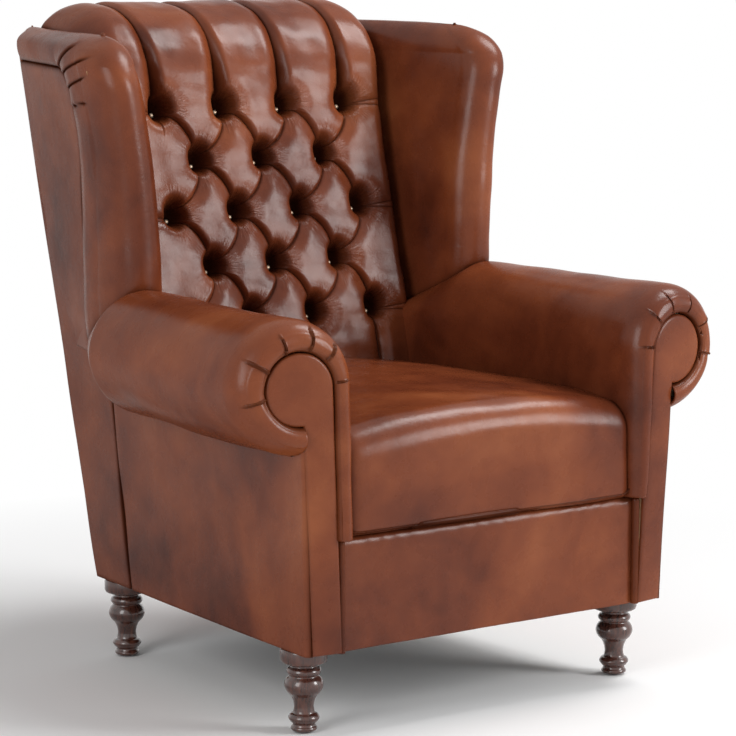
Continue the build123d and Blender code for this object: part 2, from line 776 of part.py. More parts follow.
def arm_facing():
    panel = keyhole(0.0, facing_sink, facing_back)
    normal = Vector(math.sin(splay), -math.cos(splay), 0)
    front = panel.faces().sort_by(lambda face: face.center().dot(normal))[-1]
    return chamfer(front.edges(), facing_edge)


def front_post(clear=0.0):
    x0, y0 = front_rail_half - clear, post_front_y - clear
    x1, y1 = front_rail_half + post_width + clear, post_front_y + post_depth + clear
    return block(x0, x1, y0, y1, block_top, arm_board_low + clear)


def arm_board(clear=0.0):
    """Board under the roll. It narrows to the width of the rear post."""
    half, low = arm_board_width / 2 + clear, arm_board_low - clear
    y0 = facing_y(scroll_x + half, board_back) + board_gap - clear
    y1 = arm_back_y + arm_end / 2
    y2 = back_y(arm_board_low) - frame_back - post_depth - board_gap + clear
    outer = frame_back - clear
    points = [(arm_x(y0) + half, y0), (side_x(y1, low) - outer, y1), (side_x(y2, low) - outer, y2),
              (rear_post_inner_x(arm_board_low) - clear, y2), (arm_x(y0) - half, y0)]
    return extrude(plan_face(points, low), amount=arm_board_thick + clear * 2, dir=(0, 0, 1))


def arm_cover():
    """Leather of the inside arm and the roll, open below and behind."""
    hollow = arm_solid(-leather, arm_low - overrun, roll_welt_inset, arm_front_shares[2:])
    cover = arm_solid(0.0, arm_low, 0.0) - hollow - keyhole(-board_gap, -overrun, board_back + board_gap)
    return cover - front_post(fit_gap) - arm_board(fit_gap) - wing_board(fit_gap) - back_space()


def arm_foam():
    foam = arm_solid(-leather - fit_gap, arm_low, 0.0, foam_front_shares, foam_end_shares)
    foam -= keyhole(-board_gap, -overrun, board_back + board_gap)
    return foam - front_post(fit_gap) - arm_board(fit_gap) - wing_board(fit_gap) - back_space()


def wing_cover():
    """Leather of the inside wing, its front roll and its top, open behind and below."""
    outer = wing_solid(0.0, scroll_height, 0.0)
    hollow = wing_solid(leather, scroll_height - overrun, roll_welt_inset)
    return outer - hollow - wing_panel_space() - arm_solid(fit_gap, arm_low, 0.0) - back_space()


def wing_foam():
    foam = wing_solid(leather + fit_gap, scroll_height, -fit_gap)
    foam = foam - wing_panel_space() - arm_solid(fit_gap, arm_low, 0.0) - back_space()
    return foam - wing_board(fit_gap) - rear_post(fit_gap)


def roll_underside(share):
    """Height and place of the roll's underside along its dying end."""
    return scroll_height - roll_rear_radius * (1 - share), arm_back_y + arm_end * share ** (1 / dying_power)


def outside_arm_panel():
    """Flat leather below the roll, from behind the facing to the seam of the wing panel."""
    front = facing_y(front_half, facing_back) + fit_gap
    stations = [(hem_height, front), (scroll_height - roll_radius, front)]
    stations += [roll_underside(share) for share in panel_top_shares]
    levels = []
    for i, (z, y0) in enumerate(stations):
        height = z - board_gap * 2 if i else z
        levels.append((height, side_strip(y0, seam_y(height) - fit_gap, 0.0, leather)(height)))
    return slab_between(levels)


def outside_back_panel():
    """Leather over the whole rear, with a horn behind each wing."""
    horn = horn_height
    low = crest_tail_height - board_gap * 3
    def at(x, z):
        return Vector(x, back_y(z), z)
    def crest_x(z):
        return edge_x(at(0, z)) + back_clear
    right = [at(side_x(back_y(hem_height), hem_height), hem_height), at(wing_outer_back(wing_shoulder), wing_shoulder),
             at(wing_outer_back(horn) - wing_round / 4, horn), at(crest_x(horn), horn), at(crest_x(low), low)]
    ring = right + [other_side(p) for p in right[::-1]]
    face = Face(Wire.make_polygon(ring, close=True))
    return extrude(face, amount=leather, dir=out_of_slope)


# Seat
deck_z = foot_height + front_rail_height + spring_wire + clip_thick + fit_gap + cloth_thick + fit_gap


def slope_y(z, ahead):
    """The raked plane through the crown of the folds, or that far ahead of it."""
    return crown_origin.Y + (z - first_row_height) * math.tan(rake) - ahead / math.cos(rake)


def seat_profile(share, sink, low):
    """Side view of the seat at a share of its half width."""
    side = max(0.0, abs(share) - seat_side_share) / (1 - seat_side_share)
    top = seat_edge_height + seat_crown * (1 - share ** 2) - seat_side_drop * side - sink
    x, y, nose = seat_half * share, front_y - seat_lead + sink, seat_nose - sink
    low_front, front = Vector(x, y, low), Vector(x, y, top - nose)
    over, back = Vector(x, y + nose, top), Vector(x, slope_y(top, seat_gap + sink), top)
    low_back = Vector(x, slope_y(low, seat_gap + sink), low)
    corner = Vector(x, y, top)
    edges = [Edge.make_line(low_front, front), quarter(front, corner, corner, over), Edge.make_line(over, back),
             Edge.make_line(back, low_back), Edge.make_line(low_back, low_front)]
    return Face(Wire(edges))


def seat_block(sink, low):
    """The seat between the arms. sink moves every face in."""
    body = loft([seat_profile(share, sink, low) for share in seat_rise_shares])
    y0, y1 = front_y, base_back_y
    inset = inside_arm / 2 - sink
    points = [(arm_inside_x(y0) + inset, y0), (seat_half + overrun, y0),
              (seat_half + overrun, y1), (arm_inside_x(y1) + inset, y1)]
    beyond = extrude(plan_face(points, low - overrun), amount=chair_height, dir=(0, 0, 1))
    return body - both(arm_solid(seat_gap + sink, arm_low - overrun, 0.0)) - both(beyond)


def seat_foam():
    """Foam on the spring cloth, cut back over the front rail."""
    sill = block(-seat_half, seat_half, front_y - overrun, rail_front_y, deck_z - overrun, seat_hem)
    return seat_block(leather + fit_gap, deck_z) - sill


def seat_cover():
    return seat_block(0.0, seat_hem) - seat_block(leather, seat_hem - overrun)


def front_rail_cover():
    """Leather of the front rail between the facings, with a puckered round top edge."""
    half_low = front_half - facing_foot_inset
    half_high = half_low + rail_cover_round
    points = [(-half_low, hem_height), (half_low, hem_height), (half_high, rail_cover_top), (-half_high, rail_cover_top)]
    face = Face(Wire.make_polygon([Vector(x, front_y, z) for x, z in points], close=True))
    cover = extrude(face, amount=rail_cover_thick, dir=(0, 1, 0))
    edge = cover.edges().filter_by(Axis.X).group_by(Axis.Z)[-1].sort_by(Axis.Y)[0]
    return fillet(edge, rail_cover_round) - both(keyhole(-board_gap, facing_sink, board_back + board_gap))


# Frame
def leg_blocks(drilled=True):
    """Blocks on the right that the feet are bolted to."""
    blocks = []
    for (x, y), front in zip(foot_places(), (True, False)):
        def at(z):
            y1 = rail_inner_y + leg_block_size if front else back_y(z) - frame_back
            return side_strip(y1 - leg_block_size, y1, frame_back, frame_back + leg_block_size)(z)
        solid = slab_between([(z, at(z)) for z in (foot_height, block_top)])
        if drilled:
            barrel = rod(nut_barrel_radius + nut_clear, foot_height - overrun, block_top + overrun)
            flange = rod(nut_flange_radius + nut_clear, foot_height - overrun, foot_height + nut_flange_thick)
            solid -= Pos(x, y, 0) * (barrel + flange)
        blocks.append(solid)
    return blocks


def foot_places():
    """Front and rear foot on the right."""
    return [(front_half - foot_front_inset, front_y + foot_front_setback),
            (back_half - foot_back_inset, front_y + foot_back_setback)]


def rod(radius, z0, z1):
    """A small upright rod, drawn with a few flats."""
    return extrude(Pos(0, 0, z0) * RegularPolygon(radius, small_sides), amount=z1 - z0)


def turned(profile, sides):
    """A turned piece: rings of flats through radius and height pairs, from the bottom up."""
    return loft([Pos(0, 0, z) * RegularPolygon(radius, sides) for radius, z in profile], ruled=True)


def side_rail():
    """Side rail, notched over both leg blocks."""
    rear = back_y(block_top) - frame_back - post_depth - board_gap
    at = side_strip(post_front_y + post_depth, rear, frame_back, frame_back + rail_thick)
    rail = slab_between([(z, at(z)) for z in (foot_height, foot_height + rail_height)])
    for solid in leg_blocks(drilled=False):
        rail -= solid
    return rail


def back_seat_rail():
    def at(z):
        y1 = back_y(z) - frame_back
        half = rear_post_inner_x(foot_height)
        return [(-half, y1 - rail_thick), (half, y1 - rail_thick), (half, y1), (-half, y1)]
    rail = slab_between([(z, at(z)) for z in (foot_height, foot_height + front_rail_height)])
    for solid in leg_blocks(drilled=False):
        rail -= both(solid)
    return rail


def front_rail():
    return block(-front_rail_half, front_rail_half, rail_front_y, rail_inner_y,
                 foot_height, foot_height + front_rail_height)


def spring_places():
    span = rear_post_inner_x(foot_height) * 2 - leg_block_size
    return [span * (i + 0.5) / spring_count - span / 2 for i in range(spring_count)]


spring_low = foot_height + front_rail_height
spring_y0 = rail_front_y + rail_thick / 4
spring_y1 = back_y(spring_low) - frame_back - rail_thick / 4


def seat_springs():
    """Flat zigzag springs from the front rail to the back seat rail."""
    steps = spring_waves * 2
    rise = (spring_y1 - spring_y0 - spring_wire * 2) / steps
    half = spring_width / 2
    shift = spring_wire / 2 * math.hypot(spring_width, rise) / rise
    bands = []
    for x in spring_places():
        line = [(x + (half if i % 2 else -half), spring_y0 + spring_wire + rise * i) for i in range(steps + 1)]
        ring = [(px - shift, py) for px, py in line] + [(px + shift, py) for px, py in line[::-1]]
        bands.append(extrude(plan_face(ring, spring_low), amount=spring_wire, dir=(0, 0, 1)))
    return Compound(children=bands)


def spring_clips():
    """Clips that hold each spring's ends down on the rails."""
    clips = []
    for x in spring_places():
        for y in (spring_y0 - rail_thick / 8, spring_y1 + rail_thick / 8 - clip_width):
            z = spring_low + spring_wire
            x0 = x - (spring_width + clip_length) / 2
            clips.append(block(x0, x0 + clip_length, y, y + clip_width, z, z + clip_thick))
    return Compound(children=clips)


def spring_cover():
    low = deck_z - fit_gap - cloth_thick
    half = spring_places()[-1] + spring_width / 2
    return block(-half, half, spring_y0, spring_y1, low, low + cloth_thick)


def back_webbing():
    """Upright straps in front of the back rails."""
    straps = []
    for i in range(web_count):
        x = (2 * i + 1 - web_count) * column_pitch / 2
        straps.append(slope_block(x - web_width / 2, x + web_width / 2, rail_low_t - top_rail_height, rail_top_t,
                                  rail_front_depth - web_thick, rail_front_depth))
    return Compound(children=straps)


def back_buttons():
    """Domed buttons, each on a tapered shank in the pit of the folds."""
    shoulder = math.sqrt(0.5)
    tip = twine_width / 4
    button = turned([(tip, 0), (button_radius, button_shank),
                     (button_radius * shoulder, button_shank + button_dome * shoulder),
                     (tip, button_shank + button_dome)], small_sides)
    out = []
    for x, t in button_places():
        plane = Plane(origin=on_slope(x, t, tuft_depth - fit_gap), x_dir=(1, 0, 0), z_dir=out_of_slope)
        out.append(plane * button)
    return Compound(children=out)


def button_twines():
    """Twine behind each button, held by a toggle behind the straps."""
    out = []
    for x, t in button_places():
        line = slope_bar(x, t, twine_width, twine_width, cover_depth + fit_gap, rail_front_depth + fit_gap)
        toggle = slope_bar(x, t, toggle_length, toggle_width, rail_front_depth + fit_gap,
                           rail_front_depth + fit_gap + toggle_width)
        out.append(line + toggle)
    return Compound(children=out)


# Feet
def bulge(r0, r_middle, r1, z0, z1, steps):
    """Radius and height pairs along a smooth curve, without its first point."""
    points = []
    for i in range(1, steps + 1):
        share = i / steps
        radius = r0 * (1 - share) ** 2 + r1 * share ** 2 + (4 * r_middle - r0 - r1) * (1 - share) * share
        points.append((radius, z0 + (z1 - z0) * share))
    return points


def foot():
    """Cap, ring, bulb, waist and low ring, turned from one piece, drilled for its bolt and its glide."""
    cap = foot_height - foot_cap_height
    neck = cap - foot_neck_height
    ring = neck - foot_ring_height
    bulb = ring - foot_bulb_height
    waist = bulb - foot_waist_height
    low = waist - foot_low_ring_height
    toe = low - foot_fillet_height
    wrist = (foot_waist_radius + foot_fillet_radius) / 2
    round_in = foot_cap_edge * (1 - math.sqrt(0.5))
    profile = [(foot_fillet_radius, glide_thick)]
    profile += bulge(foot_fillet_radius, foot_base_radius, foot_fillet_radius, glide_thick, toe, 2)
    profile += [(foot_fillet_radius, low)]
    profile += bulge(foot_fillet_radius, foot_low_ring_radius, wrist, low, waist, 3)
    profile += bulge(wrist, foot_waist_radius, foot_neck_radius, waist, bulb, 3)
    profile += bulge(foot_neck_radius, foot_bulb_radius, foot_groove_radius, bulb, ring, 4)
    profile += bulge(foot_groove_radius, foot_ring_radius, foot_neck_radius, ring, neck, 3)
    profile += [(foot_neck_radius, cap), (foot_cap_radius - round_in, cap + round_in),
                (foot_cap_radius, cap + foot_cap_edge), (foot_cap_radius, foot_height - foot_cap_edge),
                (foot_cap_radius - round_in, foot_height - round_in),
                (foot_cap_radius - foot_cap_edge, foot_height)]
    solid = turned(profile, foot_sides)
    solid -= rod(bolt_radius + nut_clear, foot_height - bolt_in_foot, foot_height + overrun)
    return solid - rod(glide_pin_radius + nut_clear, 0, glide_thick + glide_pin_length + nut_clear)


def at_feet(solid):
    return Compound(children=[Pos(x * side, y, 0) * solid for x, y in foot_places() for side in (-1, 1)])


def hanger_bolt():
    return rod(bolt_radius, foot_height - bolt_in_foot, block_top - nut_barrel_length)


def t_nut():
    """Flanged nut in the leg block, round the bolt."""
    nut = rod(nut_flange_radius, foot_height, foot_height + nut_flange_thick)
    nut += rod(nut_barrel_radius, foot_height, foot_height + nut_barrel_length)
    return nut - rod(bolt_radius + nut_clear, foot_height - overrun, block_top)


def foot_glide():
    return rod(glide_radius, 0, glide_thick) + rod(glide_pin_radius, 0, glide_thick + glide_pin_length)


def dust_cover():
    """Cloth under the frame, cut round the feet."""
    z = foot_height - dust_cloth
    y0, y1 = rail_front_y, base_back_y - frame_back
    right = [(side_x(y, z) - frame_back - post_width, y) for y in (y0, y1)]
    points = right + [(-x, y) for x, y in right[::-1]]
    cloth = extrude(plan_face(points, z), amount=dust_cloth, dir=(0, 0, 1))
    for x, y in foot_places():
        hole = Pos(x, y, z - overrun) * RegularPolygon(foot_cap_radius + board_gap * 3, foot_sides)
        cloth -= both(extrude(hole, amount=overrun * 2))
    return cloth


# Write every sub-part
os.makedirs("parts", exist_ok=True)
keep("front_rail", front_rail())
keep("back_seat_rail", back_seat_rail())
pair("side_rail", side_rail())
pair("front_post", front_post())
pair("rear_post", rear_post())
keep("leg_blocks", both(Compound(children=leg_blocks())))
keep("top_back_rail", back_rail(rail_top_t))
keep("lower_back_rail", back_rail(rail_low_t))
pair("arm_board", arm_board())
pair("scroll_board", keyhole(scroll_board_step, board_front, board_back))
pair("wing_board", wing_board())
keep("seat_springs", seat_springs())
keep("spring_clips", spring_clips())
keep("spring_cover", spring_cover())
keep("seat_foam", seat_foam())
keep("seat_cover", seat_cover())
keep("front_rail_cover", front_rail_cover())
keep("back_webbing", back_webbing())
keep("back_foam", back_foam())
keep("back_cover", tufted_cover())
keep("back_buttons", back_buttons())
keep("button_twines", button_twines())
keep("outside_back_panel", outside_back_panel())
pair("arm_foam", arm_foam())
pair("arm_cover", arm_cover())
pair("arm_facing", arm_facing())
pair("outside_arm_panel", outside_arm_panel())
pair("wing_foam", wing_foam())
pair("wing_cover", wing_cover())
pair("outside_wing_panel", outside_wing_panel())
keep("feet", at_feet(foot()))
keep("hanger_bolts", at_feet(hanger_bolt()))
keep("t_nuts", at_feet(t_nut()))
keep("foot_glides", at_feet(foot_glide()))
keep("dust_cover", dust_cover())
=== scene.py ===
import json
import math

import bmesh
import bpy
import numpy as np
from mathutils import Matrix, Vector
from mathutils.kdtree import KDTree


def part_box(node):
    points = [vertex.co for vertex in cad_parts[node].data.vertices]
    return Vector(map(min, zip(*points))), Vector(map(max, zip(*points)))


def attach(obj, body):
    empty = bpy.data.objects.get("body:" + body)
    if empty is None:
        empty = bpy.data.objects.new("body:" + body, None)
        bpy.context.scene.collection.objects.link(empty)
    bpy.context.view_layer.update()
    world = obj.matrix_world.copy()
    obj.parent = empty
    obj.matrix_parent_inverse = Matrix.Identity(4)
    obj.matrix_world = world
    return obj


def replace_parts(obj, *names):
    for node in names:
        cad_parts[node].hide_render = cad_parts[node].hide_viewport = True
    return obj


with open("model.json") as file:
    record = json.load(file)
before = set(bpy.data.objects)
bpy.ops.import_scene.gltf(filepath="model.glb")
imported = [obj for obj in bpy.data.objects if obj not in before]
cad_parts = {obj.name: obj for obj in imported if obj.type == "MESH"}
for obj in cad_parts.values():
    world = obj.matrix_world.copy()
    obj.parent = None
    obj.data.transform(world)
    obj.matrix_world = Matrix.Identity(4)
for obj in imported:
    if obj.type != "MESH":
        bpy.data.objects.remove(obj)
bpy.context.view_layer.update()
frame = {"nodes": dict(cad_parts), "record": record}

# A leather wingback chair. Everything is in metres, +Z is up and the chair faces -Y.
# Left is -X, as seen from the front. Sides are modelled on the right and mirrored.

# Main sizes of the chair, the same as its construction has
rail_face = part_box("front_rail_cover")[0].y      # face of the rail leather
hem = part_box("front_rail_cover")[0].z            # lower edge of the leather
chair_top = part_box("back_cover")[1].z            # top of the back
base_depth = 0.660
front_half = 0.339                               # half width at the front of the base
base_taper = 0.043
rake = math.radians(14.0)
lean = math.tan(math.radians(1.7))
side_slope = base_taper / base_depth
base_back = rail_face + base_depth

# Arms
scroll_x = 0.358
scroll_z = 0.526
roll_radius = 0.098
roll_rear_radius = 0.095
roll_edge = 0.034                                # rounding of the front of the roll
roll_lead = 0.026
roll_welt_inset = 0.009
roll_inner_trim = 0.007                          # the inside of the arm is flatter than the roll
inner_trim_fade = 0.6                            # share of that which is gone at the rear
splay = math.radians(9.0)
arm_taper = 0.023
arm_back = rail_face + 0.442                     # here the roll starts to die into the wing
arm_end = 0.185
arm_low = 0.300
dying_power = 1.05
roll_front = rail_face - roll_lead + (roll_radius - roll_edge) * math.sin(splay)
arm_slope = arm_taper / (arm_back - roll_front)
arm_turn = math.atan(arm_slope)
head_radius = 0.054
facing_width = 0.049
facing_sink = 0.005
facing_thick = 0.030
facing_foot_in = 0.0745                          # inner edge of its foot, inboard of the scroll
facing_hem = 0.1305
facing_tilt = 0.024                              # its foot stands back, per unit of height
groove = 0.003                                   # gap round the facing

# Wings
wing_y = rail_face + 0.489
wing_radius = 0.043
wing_base_half = front_half - 0.012
wing_flare = 0.038
wing_top = 1.012
wing_shoulder = wing_top - 0.046
wing_corner = 0.085                              # height of the corner's curve
wing_corner_run = 0.098                          # and its length
wing_flare_from = scroll_z + 0.114
wing_inner_back = 0.249
wing_seam_z = wing_top - 0.053                   # level seam under the top roll
seam_high = rail_face + 0.599                    # seam behind the front roll
seam_low = rail_face + 0.541
seam_corner = 0.045
turn_low = scroll_z - 0.086
turn_high = scroll_z + 0.034

# Tufted back
first_row_z = chair_top - 0.169
back_half = 0.254
column_pitch = 0.061
row_pitch = 0.087
tuft_rows = 5
tuft_depth = 0.040
crest_start = 0.045
crest_flare = math.tan(math.radians(11.3))
crest_run = 0.093
crest_tail = 0.085
back_low = 0.350

# Seat
seat_edge_z = 0.452
seat_crown = 0.022
seat_nose = 0.046
seat_lead = 0.008
seat_hem = 0.300
seat_tuck = 0.018
rail_cover_top = 0.299


def back_y(z):
    return base_back + (z - hem) * math.tan(rake)


def side_x(y, z):
    return front_half - (y - rail_face) * side_slope + (z - hem) * lean


def smooth(x):
    """0 below 0, 1 above 1, and an even step between them."""
    x = np.clip(x, 0.0, 1.0)
    return x * x * (3 - 2 * x)


def waves(points, size, seed):
    """Soft uneven swell from -1 to 1: a few sine waves that run different ways."""
    rng = np.random.default_rng(seed)
    total = np.zeros(len(points))
    count = 7
    for _ in range(count):
        way = rng.normal(size=3)
        way *= 2 * math.pi / (size * np.linalg.norm(way) * rng.uniform(0.7, 1.5))
        total += np.sin(points @ way + rng.uniform(0, 2 * math.pi))
    return total / math.sqrt(count)


def even(count):
    return np.linspace(0.0, 1.0, count + 1)


def gathered(count, spots, reach=0.006, strength=5.0):
    """Shares from 0 to 1 that lie closer together near the spots, where a crease needs them."""
    fine = np.linspace(0.0, 1.0, 4001)
    density = np.ones_like(fine)
    for spot in spots:
        density += strength * np.exp(-((fine - spot) / reach) ** 2)
    run = np.concatenate([[0.0], np.cumsum((density[1:] + density[:-1]) / 2)])
    return np.interp(np.linspace(0.0, run[-1], count + 1), run, fine)


def line_distance(points, line):
    """Distance from each point to a polyline, and the share of its length there."""
    line = np.asarray(line, float)
    steps = np.linalg.norm(np.diff(line, axis=0), axis=1)
    reached = np.concatenate([[0.0], np.cumsum(steps)])
    best = np.full(len(points), 1e9)
    share = np.zeros(len(points))
    for a, b, start, step in zip(line[:-1], line[1:], reached, steps):
        along = np.clip((points - a) @ (b - a) / step ** 2, 0.0, 1.0)
        away = np.linalg.norm(points - a - along[:, None] * (b - a), axis=1)
        nearer = away < best
        best = np.where(nearer, away, best)
        share = np.where(nearer, (start + along * step) / reached[-1], share)
    return best, share


class Skin:
    """A sheet of leather: a grid laid on a surface, then moved along its own normals."""

    def __init__(self, name, us, vs, place, flip=False, weld=False):
        self.name = name
        bm = bmesh.new()
        bmesh.ops.create_grid(bm, x_segments=len(us) - 1, y_segments=len(vs) - 1, size=0.5)
        if flip:
            bmesh.ops.reverse_faces(bm, faces=bm.faces)
        self.mesh = bpy.data.meshes.new(name)
        bm.to_mesh(self.mesh)
        bm.free()
        flat = self.read()
        self.u = us[np.rint((flat[:, 0] + 0.5) * (len(us) - 1)).astype(int)]
        self.v = vs[np.rint((flat[:, 1] + 0.5) * (len(vs) - 1)).astype(int)]
        self.points = place(self.u, self.v)
        self.write()
        if weld:
            self.weld()
        # How much painted shade darkens each point
        self.crease_shade = np.zeros(len(self.points))
        self.rays = None

    def weld(self):
        """Join the points that fell on one another."""
        for name, values in (("u", self.u), ("v", self.v)):
            kept = self.mesh.attributes.new(name, "FLOAT", "POINT")
            kept.data.foreach_set("value", values.astype(np.float32))
        bm = bmesh.new()
        bm.from_mesh(self.mesh)
        bmesh.ops.remove_doubles(bm, verts=bm.verts, dist=0.00005)
        bm.to_mesh(self.mesh)
        bm.free()
        self.points = self.read()
        found = []
        for name in ("u", "v"):
            kept = self.mesh.attributes[name]
            values = np.zeros(len(self.points), np.float32)
            kept.data.foreach_get("value", values)
            found.append(values.astype(float))
            self.mesh.attributes.remove(kept)
        self.u, self.v = found

    def read(self):
        co = np.zeros(len(self.mesh.vertices) * 3)
        self.mesh.vertices.foreach_get("co", co)
        return co.reshape(-1, 3)

    def write(self):
        self.mesh.vertices.foreach_set("co", self.points.ravel())
        self.mesh.update()

    def normals(self):
        found = np.zeros(len(self.mesh.vertices) * 3)
        self.mesh.vertices.foreach_get("normal", found)
        return found.reshape(-1, 3)

    def push(self, amount):
        """Move every point out along its normal."""
        self.points = self.points + self.normals() * amount[:, None]
        self.write()

    def swell(self, size, amount, seed):
        self.push(waves(self.points, size, seed) * amount)

    def fold(self, line, depth, width, lift=0.0, lift_reach=0.014, side=None, fade=(0.1, 0.35), dark=1.0):
        """Press a pleated line in, and darken it with painted shade. lift raises the leather that laps over
        on one side.
        """
        away, share = line_distance(self.points, line)
        strength = smooth(share / fade[0]) * smooth((1 - share) / fade[1])
        cut = np.exp(-(away / width) ** 2) * strength
        amount = -depth * cut
        if side is not None:
            amount = amount + lift * np.exp(-away / lift_reach) * strength * (side > 0)
        self.crease_shade = np.maximum(self.crease_shade, cut * dark)
        self.push(amount)

    def meet(self, others, reach=0.004, depth=0.0):
        """Press in the leather where it runs into other pieces, and darken it there with painted shade."""
        points = np.concatenate([other.points for other in others])
        low, high = points.min(0) - 0.02, points.max(0) + 0.02
        near = np.flatnonzero(((self.points > low) & (self.points < high)).all(1))
        tree = KDTree(len(points))
        for i, point in enumerate(points):
            tree.insert(point, i)
        tree.balance()
        away = np.full(len(self.points), 1.0)
        for i in near:
            away[i] = tree.find(self.points[i])[2]
        cut = np.exp(-np.maximum(away - 0.002, 0) / reach)
        self.crease_shade = np.maximum(self.crease_shade, cut * 0.8)
        if depth:
            self.push(-depth * cut)

    def finish(self, material, slot, thick=0.0025, padded=False):
        self.mesh.shade_smooth()
        # The painted shade goes to the material as an attribute
        kept = self.mesh.attributes.new("crease_shade", "FLOAT", "POINT")
        kept.data.foreach_set("value", self.crease_shade.astype(np.float32))
        if self.rays is not None:
            ray = self.mesh.attributes.new("ray", "FLOAT_VECTOR", "POINT")
            ray.data.foreach_set("vector", self.rays[:, :3].astype(np.float32).ravel())
            gather = self.mesh.attributes.new("gather", "FLOAT", "POINT")
            gather.data.foreach_set("value", self.rays[:, 3].astype(np.float32))
        obj = bpy.data.objects.new(self.name, self.mesh)
        bpy.context.scene.collection.objects.link(obj)
        self.mesh.materials.append(material)
        if thick:
            wall = obj.modifiers.new("thickness", "SOLIDIFY")
            wall.thickness = thick
            wall.offset = -1.0
        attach(obj, "root")
        return obj


def piece(name, bm, material, shade=True):
    """A finished mesh from a bmesh, riding on the chair."""
    mesh = bpy.data.meshes.new(name)
    bm.to_mesh(mesh)
    bm.free()
    if shade:
        mesh.shade_smooth()
    mesh.materials.append(material)
    obj = bpy.data.objects.new(name, mesh)
    bpy.context.scene.collection.objects.link(obj)
    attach(obj, "root")
    return obj


def sided(points, side):
    """Points of the right side, or their mirror image."""
    return points * np.array([side, 1.0, 1.0])


def side_name(side):
    return "right" if side > 0 else "left"


# Materials

class Nodes:
    """A material's node tree, with short calls for the nodes that the finishes need."""

    def __init__(self, name):
        self.material = bpy.data.materials.new(name)
        self.material.use_nodes = True
        self.tree = self.material.node_tree
        self.shader = self.tree.nodes["Principled BSDF"]
        self.coords = self.tree.nodes.new("ShaderNodeTexCoord").outputs["Object"]

    def link(self, source, target):
        self.tree.links.new(source, target)

    def noise(self, scale, detail=4.0, rough=0.55, distortion=0.0, vector=None):
        node = self.tree.nodes.new("ShaderNodeTexNoise")
        node.inputs["Scale"].default_value = scale
        node.inputs["Detail"].default_value = detail
        node.inputs["Roughness"].default_value = rough
        node.inputs["Distortion"].default_value = distortion
        self.link(vector or self.coords, node.inputs["Vector"])
        return node.outputs["Fac"]

    def cells(self, scale, feature="F1", vector=None):
        node = self.tree.nodes.new("ShaderNodeTexVoronoi")
        node.feature = feature
        node.inputs["Scale"].default_value = scale
        self.link(vector or self.coords, node.inputs["Vector"])
        return node.outputs["Distance"]

    def stretch(self, scale):
        node = self.tree.nodes.new("ShaderNodeMapping")
        node.inputs["Scale"].default_value = scale
        self.link(self.coords, node.inputs["Vector"])
        return node.outputs["Vector"]

    def ramp(self, source, stops):
        node = self.tree.nodes.new("ShaderNodeValToRGB")
        ramp = node.color_ramp
        while len(ramp.elements) < len(stops):
            ramp.elements.new(0.5)
        for element, (place, colour) in zip(ramp.elements, stops):
            element.position = place
            element.color = (*colour, 1.0)
        self.link(source, node.inputs["Fac"])
        return node.outputs["Color"]

    def range(self, source, low, high, to_low, to_high):
        node = self.tree.nodes.new("ShaderNodeMapRange")
        for i, value in enumerate((low, high, to_low, to_high), 1):
            node.inputs[i].default_value = value
        self.link(source, node.inputs[0])
        return node.outputs[0]

    def mix(self, share, a, b, blend="MIX"):
        node = self.tree.nodes.new("ShaderNodeMix")
        node.data_type = "RGBA"
        node.blend_type = blend
        for value, socket in ((share, node.inputs[0]), (a, node.inputs[6]), (b, node.inputs[7])):
            if isinstance(value, bpy.types.NodeSocket):
                self.link(value, socket)
            elif isinstance(value, tuple):
                socket.default_value = (*value, 1.0)
            else:
                socket.default_value = value
        return node.outputs[2]

    def maths(self, operation, a, b):
        node = self.tree.nodes.new("ShaderNodeMath")
        node.operation = operation
        for value, socket in ((a, node.inputs[0]), (b, node.inputs[1])):
            if isinstance(value, bpy.types.NodeSocket):
                self.link(value, socket)
            else:
                socket.default_value = value
        return node.outputs[0]

    def attribute(self, name, output="Fac"):
        node = self.tree.nodes.new("ShaderNodeAttribute")
        node.attribute_name = name
        return node.outputs[output]

    def bump(self, height, distance, strength=1.0, under=None):
        node = self.tree.nodes.new("ShaderNodeBump")
        node.inputs["Distance"].default_value = distance
        node.inputs["Strength"].default_value = strength
        self.link(height, node.inputs["Height"])
        if under is not None:
            self.link(under, node.inputs["Normal"])
        return node.outputs["Normal"]

    def wear(self, colour=None, rough=None, normal=None, **constants):
        for source, name in ((colour, "Base Color"), (rough, "Roughness"), (normal, "Normal")):
            if isinstance(source, bpy.types.NodeSocket):
                self.link(source, self.shader.inputs[name])
            elif isinstance(source, tuple):
                self.shader.inputs[name].default_value = (*source, 1.0)
            elif source is not None:
                self.shader.inputs[name].default_value = source
        for name, value in constants.items():
            self.shader.inputs[name.replace("_", " ")].default_value = value
        return self.material


